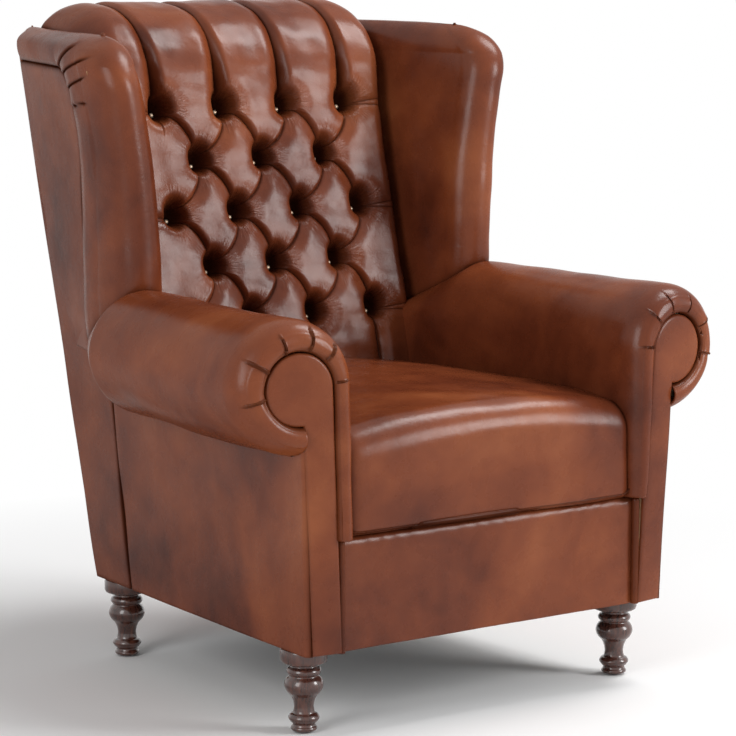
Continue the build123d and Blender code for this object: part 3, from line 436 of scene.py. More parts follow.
def make_leather():
    """Antique brown leather: rubbed tan lights over red-brown, darkened by painted shade in the creases,
    pits, grooves and joins, with a fine grain.
    """
    n = Nodes("antique_leather")
    cloud = n.noise(3.6, 3.0, 0.5, 0.5)
    mottle = n.noise(15.0, 5.0, 0.6, 0.4)
    patch = n.maths("ADD", n.maths("MULTIPLY", cloud, 0.75), n.maths("MULTIPLY", mottle, 0.25))
    tone = n.ramp(patch, [
        (0.34, (0.066, 0.014, 0.006)),
        (0.45, (0.128, 0.029, 0.011)),
        (0.56, (0.188, 0.046, 0.016)),
        (0.70, (0.265, 0.075, 0.026)),
    ])
    # Painted shade: the colour goes towards near black where this attribute is high. It is mostly shade in
    # hollows and joins, with a little patina.
    crease_shade = n.attribute("crease_shade")
    tone = n.mix(n.range(crease_shade, 0.0, 1.0, 0.0, 0.94), tone, (0.010, 0.003, 0.002))
    grain = n.cells(420.0)
    pores = n.noise(900.0, 2.0, 0.5)
    fine = n.maths("ADD", n.maths("MULTIPLY", grain, 0.6), n.maths("MULTIPLY", pores, 0.4))
    crinkle = n.noise(75.0, 6.0, 0.6, 0.2)
    pulled = n.noise(1.0, 3.0, 0.6, 0.3, n.attribute("ray", "Vector"))
    pulled = n.maths("MULTIPLY", pulled, n.attribute("gather"))
    normal = n.bump(crinkle, 0.0013, 0.25)
    normal = n.bump(pulled, 0.0090, 0.70, normal)
    normal = n.bump(fine, 0.0003, 0.25, normal)
    rough = n.range(n.noise(26.0, 4.0, 0.6), 0.3, 0.7, 0.23, 0.33)
    slant = n.tree.nodes.new("ShaderNodeLayerWeight").outputs["Facing"]
    gloss = n.maths("MULTIPLY", n.range(crease_shade, 0.0, 0.8, 1.0, 0.0), n.range(slant, 0.30, 0.68, 0.24, 0.03))
    n.link(gloss, n.shader.inputs["Specular IOR Level"])
    return n.wear(tone, rough, normal)


def make_foot_wood():
    """Dark red-brown turned wood with a gloss polish."""
    n = Nodes("polished_foot_wood")
    grain = n.noise(34.0, 8.0, 0.62, 1.6, n.stretch((3.0, 3.0, 0.35)))
    tone = n.ramp(grain, [(0.3, (0.018, 0.006, 0.004)), (0.52, (0.062, 0.018, 0.011)),
                          (0.7, (0.115, 0.036, 0.020))])
    normal = n.bump(grain, 0.0005, 0.2)
    rough = n.range(grain, 0.3, 0.7, 0.24, 0.34)
    return n.wear(tone, rough, normal, Coat_Weight=0.6, Coat_Roughness=0.08)


def make_frame_wood():
    n = Nodes("sawn_frame_wood")
    grain = n.noise(22.0, 9.0, 0.6, 0.8, n.stretch((0.6, 4.0, 4.0)))
    tone = n.ramp(grain, [(0.25, (0.36, 0.21, 0.10)), (0.5, (0.52, 0.34, 0.18)), (0.75, (0.66, 0.47, 0.28))])
    return n.wear(tone, n.range(grain, 0.2, 0.8, 0.6, 0.8), n.bump(grain, 0.0008, 0.4))


def make_button_metal():
    """Small domed buttons in dull, slightly warm metal."""
    n = Nodes("antiqued_button_metal")
    spots = n.noise(420.0, 4.0, 0.6)
    tone = n.ramp(spots, [(0.3, (0.26, 0.17, 0.11)), (0.6, (0.56, 0.43, 0.32))])
    return n.wear(tone, n.range(spots, 0.3, 0.7, 0.34, 0.5), n.bump(spots, 0.0001, 0.3), Metallic=1.0)


def make_foam():
    n = Nodes("open_cell_foam")
    pore = n.cells(700.0)
    tone = n.ramp(pore, [(0.05, (0.55, 0.46, 0.30)), (0.4, (0.82, 0.76, 0.60))])
    return n.wear(tone, 0.95, n.bump(pore, 0.0006, 0.8))


def make_steel(name, light, dark, rough):
    n = Nodes(name)
    streak = n.noise(160.0, 4.0, 0.6, 0.0, n.stretch((1.0, 1.0, 6.0)))
    tone = n.ramp(streak, [(0.3, dark), (0.7, light)])
    rough = n.range(streak, 0.3, 0.7, rough, rough + 0.15)
    return n.wear(tone, rough, n.bump(streak, 0.0001, 0.3), Metallic=1.0)


def make_woven(name, dark, light, pitch):
    """Plain weave: two sets of ribs at right angles."""
    n = Nodes(name)
    waves_node = []
    for way in ("X", "Y"):
        wave = n.tree.nodes.new("ShaderNodeTexWave")
        wave.bands_direction = way
        wave.inputs["Scale"].default_value = pitch
        wave.inputs["Distortion"].default_value = 0.6
        n.link(n.coords, wave.inputs["Vector"])
        waves_node.append(wave.outputs["Fac"])
    weave = n.maths("MULTIPLY", waves_node[0], waves_node[1])
    tone = n.ramp(weave, [(0.1, dark), (0.7, light)])
    return n.wear(tone, 0.9, n.bump(weave, 0.0005, 0.6))


def make_plastic():
    n = Nodes("moulded_nylon")
    scuff = n.noise(300.0, 5.0, 0.7)
    tone = n.ramp(scuff, [(0.3, (0.03, 0.028, 0.025)), (0.7, (0.07, 0.065, 0.06))])
    return n.wear(tone, n.range(scuff, 0.3, 0.7, 0.4, 0.6), n.bump(scuff, 0.0001, 0.4))


leather = make_leather()
foot_wood = make_foot_wood()
frame_wood = make_frame_wood()
button_metal = make_button_metal()
foam = make_foam()
spring_steel = make_steel("oiled_spring_steel", (0.32, 0.32, 0.33), (0.12, 0.11, 0.11), 0.35)
bolt_steel = make_steel("zinc_plated_steel", (0.72, 0.70, 0.62), (0.50, 0.48, 0.44), 0.25)
webbing = make_woven("jute_webbing", (0.24, 0.17, 0.09), (0.52, 0.40, 0.24), 300.0)
lining = make_woven("black_lining_cloth", (0.012, 0.012, 0.013), (0.05, 0.05, 0.052), 600.0)
twine = make_woven("waxed_twine", (0.40, 0.33, 0.22), (0.74, 0.66, 0.50), 500.0)
nylon = make_plastic()

node_finishes = {"frame_wood": frame_wood, "spring_steel": spring_steel, "bolt_steel": bolt_steel,
                 "webbing": webbing, "lining_cloth": lining, "twine": twine, "glide_plastic": nylon,
                 "foot_wood": foot_wood, "button_metal": button_metal, "foam": foam, "leather": leather}


# Arms

def arm_x(y):
    return scroll_x - (y - roll_front) * arm_slope


def roll_along(y):
    """0 at the front of the roll, 1 where it starts to die into the wing."""
    return np.clip((y - roll_front) / (arm_back - roll_front), 0, 1)


def roll_radius_at(y):
    return roll_radius + (roll_rear_radius - roll_radius) * roll_along(y)


def roll_inner_at(y):
    """How far the inside of the arm lies from the middle of the roll."""
    return roll_radius_at(y) - roll_inner_trim * (1 - inner_trim_fade * roll_along(y))


straight_share = 0.33            # of the girth that is the flat inside of the arm
wrap_share = 0.2                 # of the length that is the rounded front edge
groove_part_share = 0.16         # of the rounded edge that comes up out of the groove
bead_part_share = 0.56           # up to here the rounded edge is a bead round the facing
lip_share = 0.13                 # how far out the lip of the groove stands
bead_share = 0.64                # how far out the bead ends
bead_radius = 0.0145
bead_from, bead_to = math.radians(50), math.radians(150)
front_depth = 0.048              # length of the whole rounded front
groove_depth = 0.014
turn_run = 0.10                  # past its rounded edge, the roll turns back to its own line in this length
tilt_run = 0.08                  # the tilt of the facing's foot fades in this length
arm_reach_share = 0.95           # of the dying end that the sheet covers
roll_welt_radius = 0.0029
roll_welt_out = 0.0044
roll_welt_drop = 0.0012
roll_welt_start_share = 0.9      # of the rounded front, where the welt starts


def girth_angle(u):
    return math.pi - (u - straight_share) / (1 - straight_share) * 1.5 * math.pi


def girth_u(angle):
    """The share of the girth at an angle round the roll, from straight outwards."""
    return straight_share + (1 - straight_share) * (math.pi - angle) / (1.5 * math.pi)


def keyhole(u, inner, top, outer, under, welt, splay_out=0.0):
    """Offsets across and up from the middle of the roll, round its girth."""
    a = girth_angle(np.maximum(u, straight_share))
    flat = u < straight_share
    drop = (arm_low - scroll_z) * (1 - u / straight_share)
    p = np.where(a > math.pi / 2, inner * np.cos(a), outer * np.cos(a) + welt * np.minimum(np.sin(a), 0))
    q = np.where(a > 0, top * np.sin(a), under * np.sin(a))
    return np.where(flat, -inner + drop * splay_out, p), np.where(flat, drop, q)


facing_lean = (facing_foot_in - head_radius) / (scroll_z - facing_hem)


def arm_surface(side):
    def place(u, v):
        w = np.clip(v / wrap_share, 0, 1)
        rise = np.clip(w / groove_part_share, 0, 1) * math.pi / 2
        bead = np.clip((w - groove_part_share) / (bead_part_share - groove_part_share), 0, 1)
        tail = np.clip((w - bead_part_share) / (1 - bead_part_share), 0, 1)
        angle = bead_from + (bead_to - bead_from) * bead
        ring = (math.cos(bead_from) - np.cos(angle)) / (math.cos(bead_from) - math.cos(bead_to))
        out = lip_share * (1 - np.cos(rise)) + (bead_share - lip_share) * ring
        out = out + (1 - bead_share) * (1 - (1 - tail) ** 2)
        deep = groove_depth * (1 - np.sin(rise)) + bead_radius * (1 - np.sin(angle))
        deep = deep + (front_depth - bead_radius * (1 - math.sin(bead_to))) * (0.7 * tail + 0.3 * tail ** 2)
        b = np.clip((v - wrap_share) / (1 - wrap_share), 0, 1)
        y_end = arm_back + arm_end * arm_reach_share
        start = roll_front + front_depth
        y = np.where(v < wrap_share, roll_front + deep, start + (y_end - start) * b)
        turn = splay + (arm_turn - splay) * smooth((y - roll_front) / (roll_edge + turn_run))
        dying = np.clip((y - arm_back) / arm_end, 0, 1)
        roll = roll_radius_at(y) * (1 - dying ** dying_power)
        inner = roll_inner_at(y) - dying * arm_end * (arm_slope - side_slope)
        p_out, q_out = keyhole(u, inner, roll, roll, roll, roll_welt_inset)
        hole = head_radius + groove
        p_in, q_in = keyhole(u, hole, hole, hole, hole, roll_welt_inset, facing_lean)
        p = p_in + (p_out - p_in) * out
        q = q_in + (q_out - q_in) * out
        back = facing_tilt * np.maximum(-q, 0) * (1 - smooth((y - roll_front) / tilt_run)) * (u < 0.6)
        turned = y + p * np.sin(turn) + back
        return sided(np.stack([arm_x(y) + p * np.cos(turn), turned, scroll_z + q], 1), side)
    return place


# Pleats round the scroll, in degrees from straight outwards
pleat_angles = (-10.0, 30.0, 68.0, 105.0, 136.0, 172.0)
pleat_depth = 0.0026
pleat_width = 0.0014
pleat_lift = 0.0026
pleat_lift_reach = 0.010
pleat_fade = (0.05, 0.45)
# how strongly painted shade darkens the pleats
pleat_shade = 0.65
rim_share, rim_spread_share = 0.38, 0.16         # the fullest line of the rounded front
rim_swell, rim_puff = 0.0006, 0.0022             # all round, and more between the pleats


def make_arm(side):
    place = arm_surface(side)
    spots = [girth_u(math.radians(angle)) for angle in pleat_angles]
    us = gathered(230, spots, 0.007, 5.0)
    vs = np.concatenate([even(72) * wrap_share, wrap_share + (1 - wrap_share) * even(120)[1:]])
    arm = Skin("arm_leather_" + side_name(side), us, vs, place, flip=side > 0)
    for i, spot in enumerate(spots):
        reach = wrap_share * (0.74 + 0.08 * math.sin(i * 2.3))
        bend = 0.006 * math.cos(i * 1.7)
        steps = np.linspace(0.02, reach, 14)
        line = place(spot + bend * (steps / reach) ** 2, steps)
        beside = arm.u - (spot + bend * (arm.v / reach) ** 2)
        arm.fold(line, pleat_depth, pleat_width, pleat_lift, pleat_lift_reach, beside, pleat_fade, pleat_shade)
    arm.swell(0.30, 0.0016, 3 + side)
    arm.swell(0.11, 0.0006, 7 + side)
    w = arm.v / wrap_share
    between = np.interp(arm.u, spots[::-1], range(len(spots)))
    puff = np.abs(np.sin(math.pi * between)) * (arm.u > straight_share * 0.95)
    rim = np.exp(-((w - rim_share) / rim_spread_share) ** 2)
    arm.push(rim * (rim_swell + rim_puff * puff))
    # Painted shade in the groove round the facing
    hole = np.clip(1 - w / (groove_part_share * 1.2), 0, 1)
    arm.crease_shade = np.maximum(arm.crease_shade, hole * 0.9)
    return arm


def make_welt(side):
    """Folded seam under the roll, where the arm leather meets the outside panel."""
    surface = arm_surface(side)

    def place(u, v):
        along = wrap_share * roll_welt_start_share + (1 - wrap_share * roll_welt_start_share) * v
        angle = u * 2 * math.pi
        out = side * (roll_welt_out + roll_welt_radius * np.cos(angle))
        up = roll_welt_radius * np.sin(angle) - roll_welt_drop
        return surface(np.ones_like(v), along) + np.stack([out, 0 * v, up], 1)
    welt = Skin("roll_welt_" + side_name(side), even(10), even(90), place, flip=side < 0, weld=True)
    return welt.finish(leather, "leather", 0.0)


facing_edge_radius = 0.0055
# The full face of the facing rises in steps: how far in, and how far up
facing_crown = ((0.002, 0.0003), (0.004, 0.0004), (0.006, 0.0003), (0.006, 0.0002))


def make_facing(side):
    """The keyhole-shaped board on the front of the arm, with rounded edges and a slightly full face."""
    bm = bmesh.new()
    neck = head_radius - facing_width + 0.002
    start = bm.verts.new((-head_radius, 0.0, 0.0))
    turned = bmesh.ops.spin(bm, geom=[start], cent=(0, 0, 0), axis=(0, 0, 1), steps=48, use_duplicate=False,
                            angle=-(math.pi + math.acos(-neck / head_radius)))
    head_end = [v for v in turned["geom_last"] if isinstance(v, bmesh.types.BMVert)][0]
    foot_out = bm.verts.new((facing_width - facing_foot_in, facing_hem - scroll_z, 0.0))
    foot = bm.verts.new((-facing_foot_in, facing_hem - scroll_z, 0.0))
    for a, b in ((head_end, foot_out), (foot_out, foot), (foot, start)):
        bm.edges.new((a, b))
    face = bmesh.ops.contextual_create(bm, geom=bm.edges[:])["faces"][0]
    face.normal_update()
    if face.normal.z < 0:
        face.normal_flip()
    bmesh.ops.extrude_face_region(bm, geom=[face])
    bmesh.ops.translate(bm, verts=face.verts, vec=(0, 0, facing_thick))
    bmesh.ops.recalc_face_normals(bm, faces=bm.faces)
    rim = list(face.edges)
    bmesh.ops.bevel(bm, geom=rim, offset=facing_edge_radius, affect="EDGES", segments=5, profile=0.5,
                    material=-1)
    top = [f for f in bm.faces if f.normal.z > 0.999]
    for thick, rise in facing_crown:
        bmesh.ops.inset_region(bm, faces=top, thickness=thick, depth=rise, use_even_offset=True)
    c, s = math.cos(splay), math.sin(splay)
    y0 = roll_front + (facing_sink + facing_thick) * c
    x0 = scroll_x - (facing_sink + facing_thick) * s
    for v in bm.verts:
        p, q, d = v.co
        back = facing_tilt * max(0.0, -q)
        v.co = (side * (x0 + p * c + d * s), y0 + p * s - d * c + back, scroll_z + q)
    bmesh.ops.recalc_face_normals(bm, faces=bm.faces)
    return piece("facing_leather_" + side_name(side), bm, leather)


# Wings

def wing_x(z):
    climb = np.clip((z - wing_flare_from) / (wing_shoulder - wing_flare_from), 0, 1)
    return wing_base_half + wing_flare * climb ** 2


def wing_back(z):
    return back_y(z) - wing_back_gap


inner_share, outer_share = 0.42, 0.62        # where the front roll starts and ends in the girth
wing_top_share = 0.72                        # of the height up to the corner
rear_turn = 0.985                            # from here the sheet turns in and closes the rear
roll_stretch = 0.030                         # the outer half of the front roll is this much longer
wing_sink = 0.02                             # the wing starts this far below the middle of the arm roll
wing_back_gap = 0.0045
seam_bow, seam_bow_z, seam_bow_reach = 0.015, 0.845, 0.07


def wing_surface(side):
    foot = scroll_z - wing_sink
    corner_low = wing_top - wing_corner

    def place(u, v):
        turned = np.clip((v - wing_top_share) / (1 - wing_top_share), 0, 1) * math.pi / 2
        z = foot + (corner_low - foot) * np.clip(v / wing_top_share, 0, 1) + wing_corner * np.sin(turned)
        above = np.clip((z - wing_top + wing_radius) / wing_radius, 0, 1)
        shrink = np.sqrt(np.maximum(1 - above ** 2, 0))
        front = wing_y + wing_corner_run * (1 - np.cos(turned))
        level = np.minimum(z, wing_shoulder)
        x, back = wing_x(level), wing_back(z)
        outer_back = side_x(back_y(level), level)
        inner_part = np.clip(u / inner_share, 0, 1)
        outer_part = np.clip((u - outer_share) / (1 - outer_share), 0, 1)
        arc = np.clip((u - inner_share) / (outer_share - inner_share), 0, 1) * math.pi
        part = np.where(u < inner_share, 1 - inner_part, np.where(u > outer_share, outer_part, 0.0))
        y = front + (back - front) * part
        on_arc = (u >= inner_share) & (u <= outer_share)
        late = np.maximum(arc - math.pi / 2, 0) / (math.pi / 2)
        y = np.where(u >= inner_share, y + roll_stretch * (late - part), y)
        along = (y - wing_y) / (back - wing_y)
        inner_x = x - wing_radius + (wing_inner_back - x + wing_radius) * along
        outer_x = x + wing_radius + (outer_back - x - wing_radius) * along
        closing = np.clip((part - rear_turn) / (1 - rear_turn), 0, 1)
        shut = np.sqrt(1 - closing ** 2)
        spine, half = (inner_x + outer_x) / 2, (outer_x - inner_x) / 2 * shrink * shut
        flat_x = np.where(u < inner_share, spine - half, spine + half)
        px = np.where(on_arc, spine - half * np.cos(arc), flat_x)
        tip = np.where(late > 0, wing_radius + roll_stretch, wing_radius) * np.sin(arc)
        rounded = np.where(late > 0, front + roll_stretch - tip, front - tip)
        py = np.where(on_arc, rounded, y)
        return sided(np.stack([px, py, z], 1), side)
    return place


def seam_y(z):
    rise = np.clip((z - hem) / (turn_high - hem), 0, 1)
    bow = seam_bow * np.exp(-((z - seam_bow_z) / seam_bow_reach) ** 2)
    return seam_low + (seam_high - seam_low) * rise - bow


def past_seam(y, z):
    """How far a place on the outside lies beyond the seam, towards the middle of the outside panel."""
    a, b = y - seam_y(z), wing_seam_z - z
    inside = np.hypot(np.maximum(seam_corner - a, 0), np.maximum(seam_corner - b, 0))
    return seam_corner - inside + np.minimum(np.maximum(a - seam_corner, 0), np.maximum(b - seam_corner, 0))


def panel_x(y, z):
    back = wing_back(z)
    outer_back = side_x(back_y(z), z)
    on_wing = outer_back + (wing_x(z) + wing_radius - outer_back) * (back - y) / (back - wing_y)
    turn = np.clip((z - turn_low) / (turn_high - turn_low), 0, 1)
    return side_x(y, z) + (on_wing - side_x(y, z)) * turn


# Pleats round the front top corner of the wing: ends in the YZ plane
corner_pleats = (((0.208, 0.957), (0.126, 1.004)), ((0.192, 0.948), (0.066, 0.984)),
                 ((0.178, 0.925), (0.074, 0.953)), ((0.166, 0.899), (0.082, 0.911)))
corner_pleat_depth = 0.0030
corner_pleat_width = 0.0021
corner_pleat_lift, corner_pleat_reach = 0.0026, 0.010
seam_raise, seam_raise_run = 0.0034, 0.008       # the leather stands up at the seam
seam_bulge, seam_bulge_run = 0.0060, 0.075       # and swells before it
seam_sink = 0.006                                # past it, it goes under the outside panel
wing_top_swell = 0.0018                          # no swell of the leather stands higher than this


def make_wing(side, arms):
    us = gathered(260, (0.60, 0.705), 0.05, 2.5)
    ends = (1 - np.cos(np.linspace(0.2, 1.4, 7))) * 0.006
    us = np.unique(np.concatenate([us, ends, 1 - ends]))
    vs = np.concatenate([even(92) * wing_top_share, wing_top_share + (1 - wing_top_share) * even(90)[1:]])
    wing = Skin("wing_leather_" + side_name(side), us, vs, wing_surface(side), flip=side < 0, weld=True)
    wing.swell(0.28, 0.0018, 13 + side)
    wing.swell(0.09, 0.0005, 17 + side)
    y, z = wing.points[:, 1], wing.points[:, 2]
    ridge = smooth((wing_top - 0.001 - z) / 0.024) * smooth((0.993 - wing.u) / 0.006)
    outside = smooth((wing.u - (inner_share + outer_share) / 2) / 0.06) * ridge
    past = past_seam(y, z)
    before = np.clip(-past / seam_bulge_run, 0, 1)
    at_seam = seam_raise * np.sqrt(np.clip(-past / seam_raise_run, 0, 1))
    raised = at_seam + seam_bulge * np.sin(math.pi * before)
    raised = raised - seam_sink * smooth((past + 0.001) / 0.004)
    # Painted shade along the seam under the rolls
    wing.crease_shade = np.maximum(wing.crease_shade, np.exp(-np.abs(past) / 0.0034) * outside)
    wing.push(raised * outside)
    for rear, front in corner_pleats:
        away, share = line_distance(wing.points[:, 1:], (rear, front))
        strength = smooth(share / 0.10) * smooth((1 - share) / 0.30) * smooth((wing.u - 0.50) / 0.04) * ridge
        cut = np.exp(-(away / corner_pleat_width) ** 2) * strength
        above = wing.points[:, 2] > np.interp(wing.points[:, 1], (front[0], rear[0]), (front[1], rear[1]))
        lifted = corner_pleat_lift * np.exp(-away / corner_pleat_reach) * strength * above
        # Painted shade in the corner pleats
        wing.crease_shade = np.maximum(wing.crease_shade, cut)
        wing.push(lifted - corner_pleat_depth * cut)
    # Painted shade where the wing runs into the arm
    wing.meet(arms, 0.004, 0.002)
    wing.points[:, 2] = np.minimum(wing.points[:, 2], wing_top + wing_top_swell)
    wing.write()
    return wing


def make_wing_panel(side):
    """Outside of the wing, down to the base behind the arm."""
    def place(u, v):
        z = hem + (wing_seam_z - hem) * v
        back = back_y(z) - 0.002
        sharp = np.maximum(seam_corner - (wing_seam_z - z), 0)
        rounded = seam_corner - np.sqrt(np.maximum(seam_corner ** 2 - sharp ** 2, 0))
        front = seam_y(z) + rounded
        y = front + (back - front) * u
        return sided(np.stack([panel_x(y, z) + 0.0012, y, z], 1), side)
    us = gathered(70, (0.0,), 0.05, 4.0)
    vs = gathered(140, (1.0,), 0.03, 4.0)
    panel = Skin("wing_panel_leather_" + side_name(side), us, vs, place, flip=side < 0)
    past = past_seam(panel.points[:, 1], panel.points[:, 2])
    panel.push(-0.0035 * np.exp(-np.maximum(past, 0) / 0.0025))
    # Painted shade along the seam with the wing's rolls
    panel.crease_shade = np.exp(-(np.maximum(past, 0) / 0.0062) ** 2) * 0.95
    panel.swell(0.22, 0.0012, 23 + side)
    return panel.finish(leather, "leather")


arm_panel_length = 0.54                          # about, to turn shares into distances


def make_arm_panel(side):
    """Flat leather under the roll, from the facing back to the seam."""
    def place(u, v):
        z = hem + (scroll_z - roll_radius + 0.02 - hem) * v
        front = roll_front + 0.004 + facing_tilt * (scroll_z - z)
        y = front + (seam_y(z) - front) * u
        lift = np.clip((y - arm_back) / arm_end, 0, 1)
        z = z + v * roll_rear_radius * lift ** dying_power
        y = front + (seam_y(z) - front) * u
        x = panel_x(y, z)
        tuck = np.clip((y - front) / 0.010, 0, 1)
        return sided(np.stack([x + 0.002 - 0.010 * (1 - np.sqrt(1 - (1 - tuck) ** 2)), y, z], 1), side)
    us = gathered(150, (0.0, 1.0), 0.02, 6.0)
    panel = Skin("arm_panel_leather_" + side_name(side), us, even(90), place, flip=side < 0)
    edge = (1 - panel.u) * arm_panel_length
    panel.push(-0.003 * np.exp(-edge / 0.003))
    at_front = np.exp(-panel.u * arm_panel_length / 0.0012)
    # Painted shade at the seam behind and against the facing in front
    panel.crease_shade = np.maximum(np.exp(-edge / 0.0015) * 0.8, at_front * 0.9)
    panel.swell(0.18, 0.0014, 33 + side)
    return panel.finish(leather, "leather")


def make_back_panel():
    def place(u, v):
        z = hem + (wing_shoulder - hem) * v
        y = back_y(z)
        half = side_x(y, z)
        return np.stack([(u * 2 - 1) * half, y, z], 1)
    panel = Skin("back_panel_leather", even(70), even(90), place, flip=True)
    panel.swell(0.3, 0.0015, 41)
    return panel.finish(leather, "leather")


# Tufted back

back_thickness = 0.214                           # square to the slope, at the crown of the folds
crown = np.array([0.0, back_y(first_row_z) - back_thickness / math.cos(rake), first_row_z])
up_slope = np.array([0.0, math.sin(rake), math.cos(rake)])
off_slope = np.array([0.0, -math.cos(rake), math.sin(rake)])
bottom_t = (back_low - first_row_z) / math.cos(rake)


def on_slope(x, t, depth):
    return np.array([x, 0.0, 0.0]) + crown + up_slope * t - off_slope * depth


def bent(start, corner, end, count=9):
    """A curve that leaves the start towards the corner and comes to the end from it."""
    share = np.linspace(0, 1, count)[:, None]
    a, b, c = (np.array(point) for point in (start, corner, end))
    return a * (1 - share) ** 2 + 2 * b * share * (1 - share) + c * share ** 2


def crest_line():
    """The line over the back in the YZ plane at the crown of the folds, with its length so far."""
    start = on_slope(0, crest_start, 0)
    front = start + up_slope * ((chair_top - start[2]) / math.cos(rake))
    high = np.array([0.0, back_y(chair_top) - crest_run, chair_top])
    tail_z = chair_top - crest_tail
    tail = np.array([0.0, back_y(tail_z), tail_z])
    behind = tail + up_slope * ((chair_top - tail[2]) / math.cos(rake))
    foot = on_slope(0, bottom_t, 0)[None, :]
    line = np.concatenate([foot, bent(start, front, high, 60), bent(high, behind, tail, 60)[1:]])
    run = np.concatenate([[0.0], np.cumsum(np.linalg.norm(np.diff(line, axis=0), axis=1))])
    return line, run


crest, crest_run_so_far = crest_line()
slope_length = crest_start - bottom_t


def button_places():
    """Across and up the slope, for every button."""
    places = []
    for row in range(1, tuft_rows + 1):
        count = 4 if row % 2 else 3
        for i in range(count):
            places.append(((2 * i - count + 1) * column_pitch, -(row - 1) * row_pitch))
    return places


def to_line(x, t, points):
    """Distance in the plane of the back to a line of points, and the share of its length there."""
    flat = np.stack([x, t], 1)
    return line_distance(flat, points)


def valley(away, sharp=0.0024, wide=0.0115, sharp_part=0.42):
    """Cross section of a fold's valley: a sharp line between two rounded shoulders."""
    return sharp_part * np.exp(-away / sharp) + (1 - sharp_part) * np.exp(-(away / wide) ** 2)


def seam_line(away, width=0.0015):
    """Painted shade: the dark line at the bottom of a fold."""
    return np.exp(-(away / width) ** 2)


def rounded_edge(inside, radius):
    """Depth of a quarter-round edge, from its flat top to its side."""
    over = 1 - np.clip(inside / radius, 0, 1)
    return radius * (1 - np.sqrt(1 - over ** 2))


def above_line(x, t, line):
    """1 above a line of points that runs from left to right, 0 below it."""
    return smooth((t - np.interp(x, line[:, 0], line[:, 1])) / 0.003 + 0.5)


def spread_x(x, t):
    """The columns stand a little wider above the first row."""
    return x / (1 + 0.07 * np.clip(t / 0.30, 0, 1))


def tuft_relief(x, t, half):
    """Depth of the leather below the crown of the folds, and how strongly painted shade darkens each place.
    """
    top_t = crest_run_so_far[-1] - slope_length + crest_start
    spread = spread_x(x, t)
    places = button_places()
    total = np.zeros_like(x)
    crease_shade = np.zeros_like(x)
    power = 2.6

    # dig adds a depth and keeps the strongest painted shade
    def dig(depth, line):
        nonlocal total, crease_shade
        total = total + np.maximum(depth, 0) ** power
        crease_shade = np.maximum(crease_shade, line)

    for x0, t0 in places:
        for x1, t1 in places:
            if abs(x1 - x0 - column_pitch) < 1e-6 and abs(abs(t1 - t0) - row_pitch) < 1e-6:
                falls = t1 < t0
                # Both folds leave the upper button and come to the hollow over the lower one
                corner = (x1 - 0.012, t0 - 0.012) if falls else (x1 - 0.006, (t0 + t1) / 2 - 0.012)
                low = (x0 + 0.007, t0 + 0.016)
                line = bent((x0, t0), corner, (x1, t1)) if falls else bent(low, corner, (x1, t1))
                away, share = to_line(spread, t, line)
                above = above_line(spread, t, line)
                ends = np.exp(-np.minimum(share, 1 - share) * 0.106 / 0.014)
                deep = (0.0100 if falls else 0.0085) + 0.012 * ends
                wide = 0.0042 * above + (0.0190 if falls else 0.0150) * (1 - above)
                dig(deep * valley(away, 0.0020, wide), seam_line(away) * (1.0 if falls else 0.85))
    for column in (-3, -1, 1, 3):
        x0 = column * column_pitch
        away, share = to_line(spread, t, ((x0, 0.0), (x0, top_t)))
        run = share * top_t
        left = smooth((x0 - spread) / 0.003 + 0.5)
        deep = 0.006 + 0.028 * np.exp(-(run / 0.110) ** 1.5)
        wide = (0.0060 + 0.0080 * left) + 0.006 * np.exp(-run / 0.08)
        cut = 0.36 * np.exp(-away / 0.0024) + 0.64 * np.exp(-(away / wide) ** 2.2)
        # Painted shade: a dark wedge along the channel, widest near the button
        shade_width = 0.004 + 0.010 * np.exp(-run / 0.06)
        shade = 0.75 * np.exp(-(away / shade_width) ** 2) * np.exp(-(run / 0.13) ** 2)
        dig(deep * cut, np.maximum(seam_line(away, 0.0021), shade))
        away, share = to_line(spread, t, ((x0, (1 - tuft_rows) * row_pitch), (x0, bottom_t)))
        dig(0.018 * valley(away), seam_line(away) * 0.95)
    for row in (1, 3, 5):
        t0 = (1 - row) * row_pitch
        for side in (-1, 1):
            for gap in (-0.0045, 0.0045):
                start, end = (side * 3 * column_pitch, t0), (side * 0.29, t0 + gap * 2)
                away, share = to_line(spread, t, (start, end))
                deep = 0.004 + 0.022 * np.exp(-share * 0.117 / 0.016)
                dig(deep * valley(away, 0.002, 0.009), seam_line(away, 0.0013) * 0.8)
    for x0, t0 in places:
        # The hollow reaches up over its button, and painted shade darkens it there
        away = np.hypot(spread - x0 - 0.001, (t - t0 - 0.009) / 1.25)
        dig(tuft_depth * 0.97 * np.exp(-(away / 0.0180) ** 3.0), 0.95 * np.exp(-(away / 0.0195) ** 2.8))
        away = np.hypot(spread - x0, t - t0)
        dig(tuft_depth * np.exp(-(away / 0.0085) ** 2), np.zeros_like(x))
    # Painted shade along the side edges
    side_round = 0.022 + 0.042 * smooth((t - 0.06) / 0.18)
    dig(rounded_edge(half - np.abs(x), side_round), 0.5 * np.exp(-(half - np.abs(x)) / 0.003))
    return total ** (1 / power), crease_shade


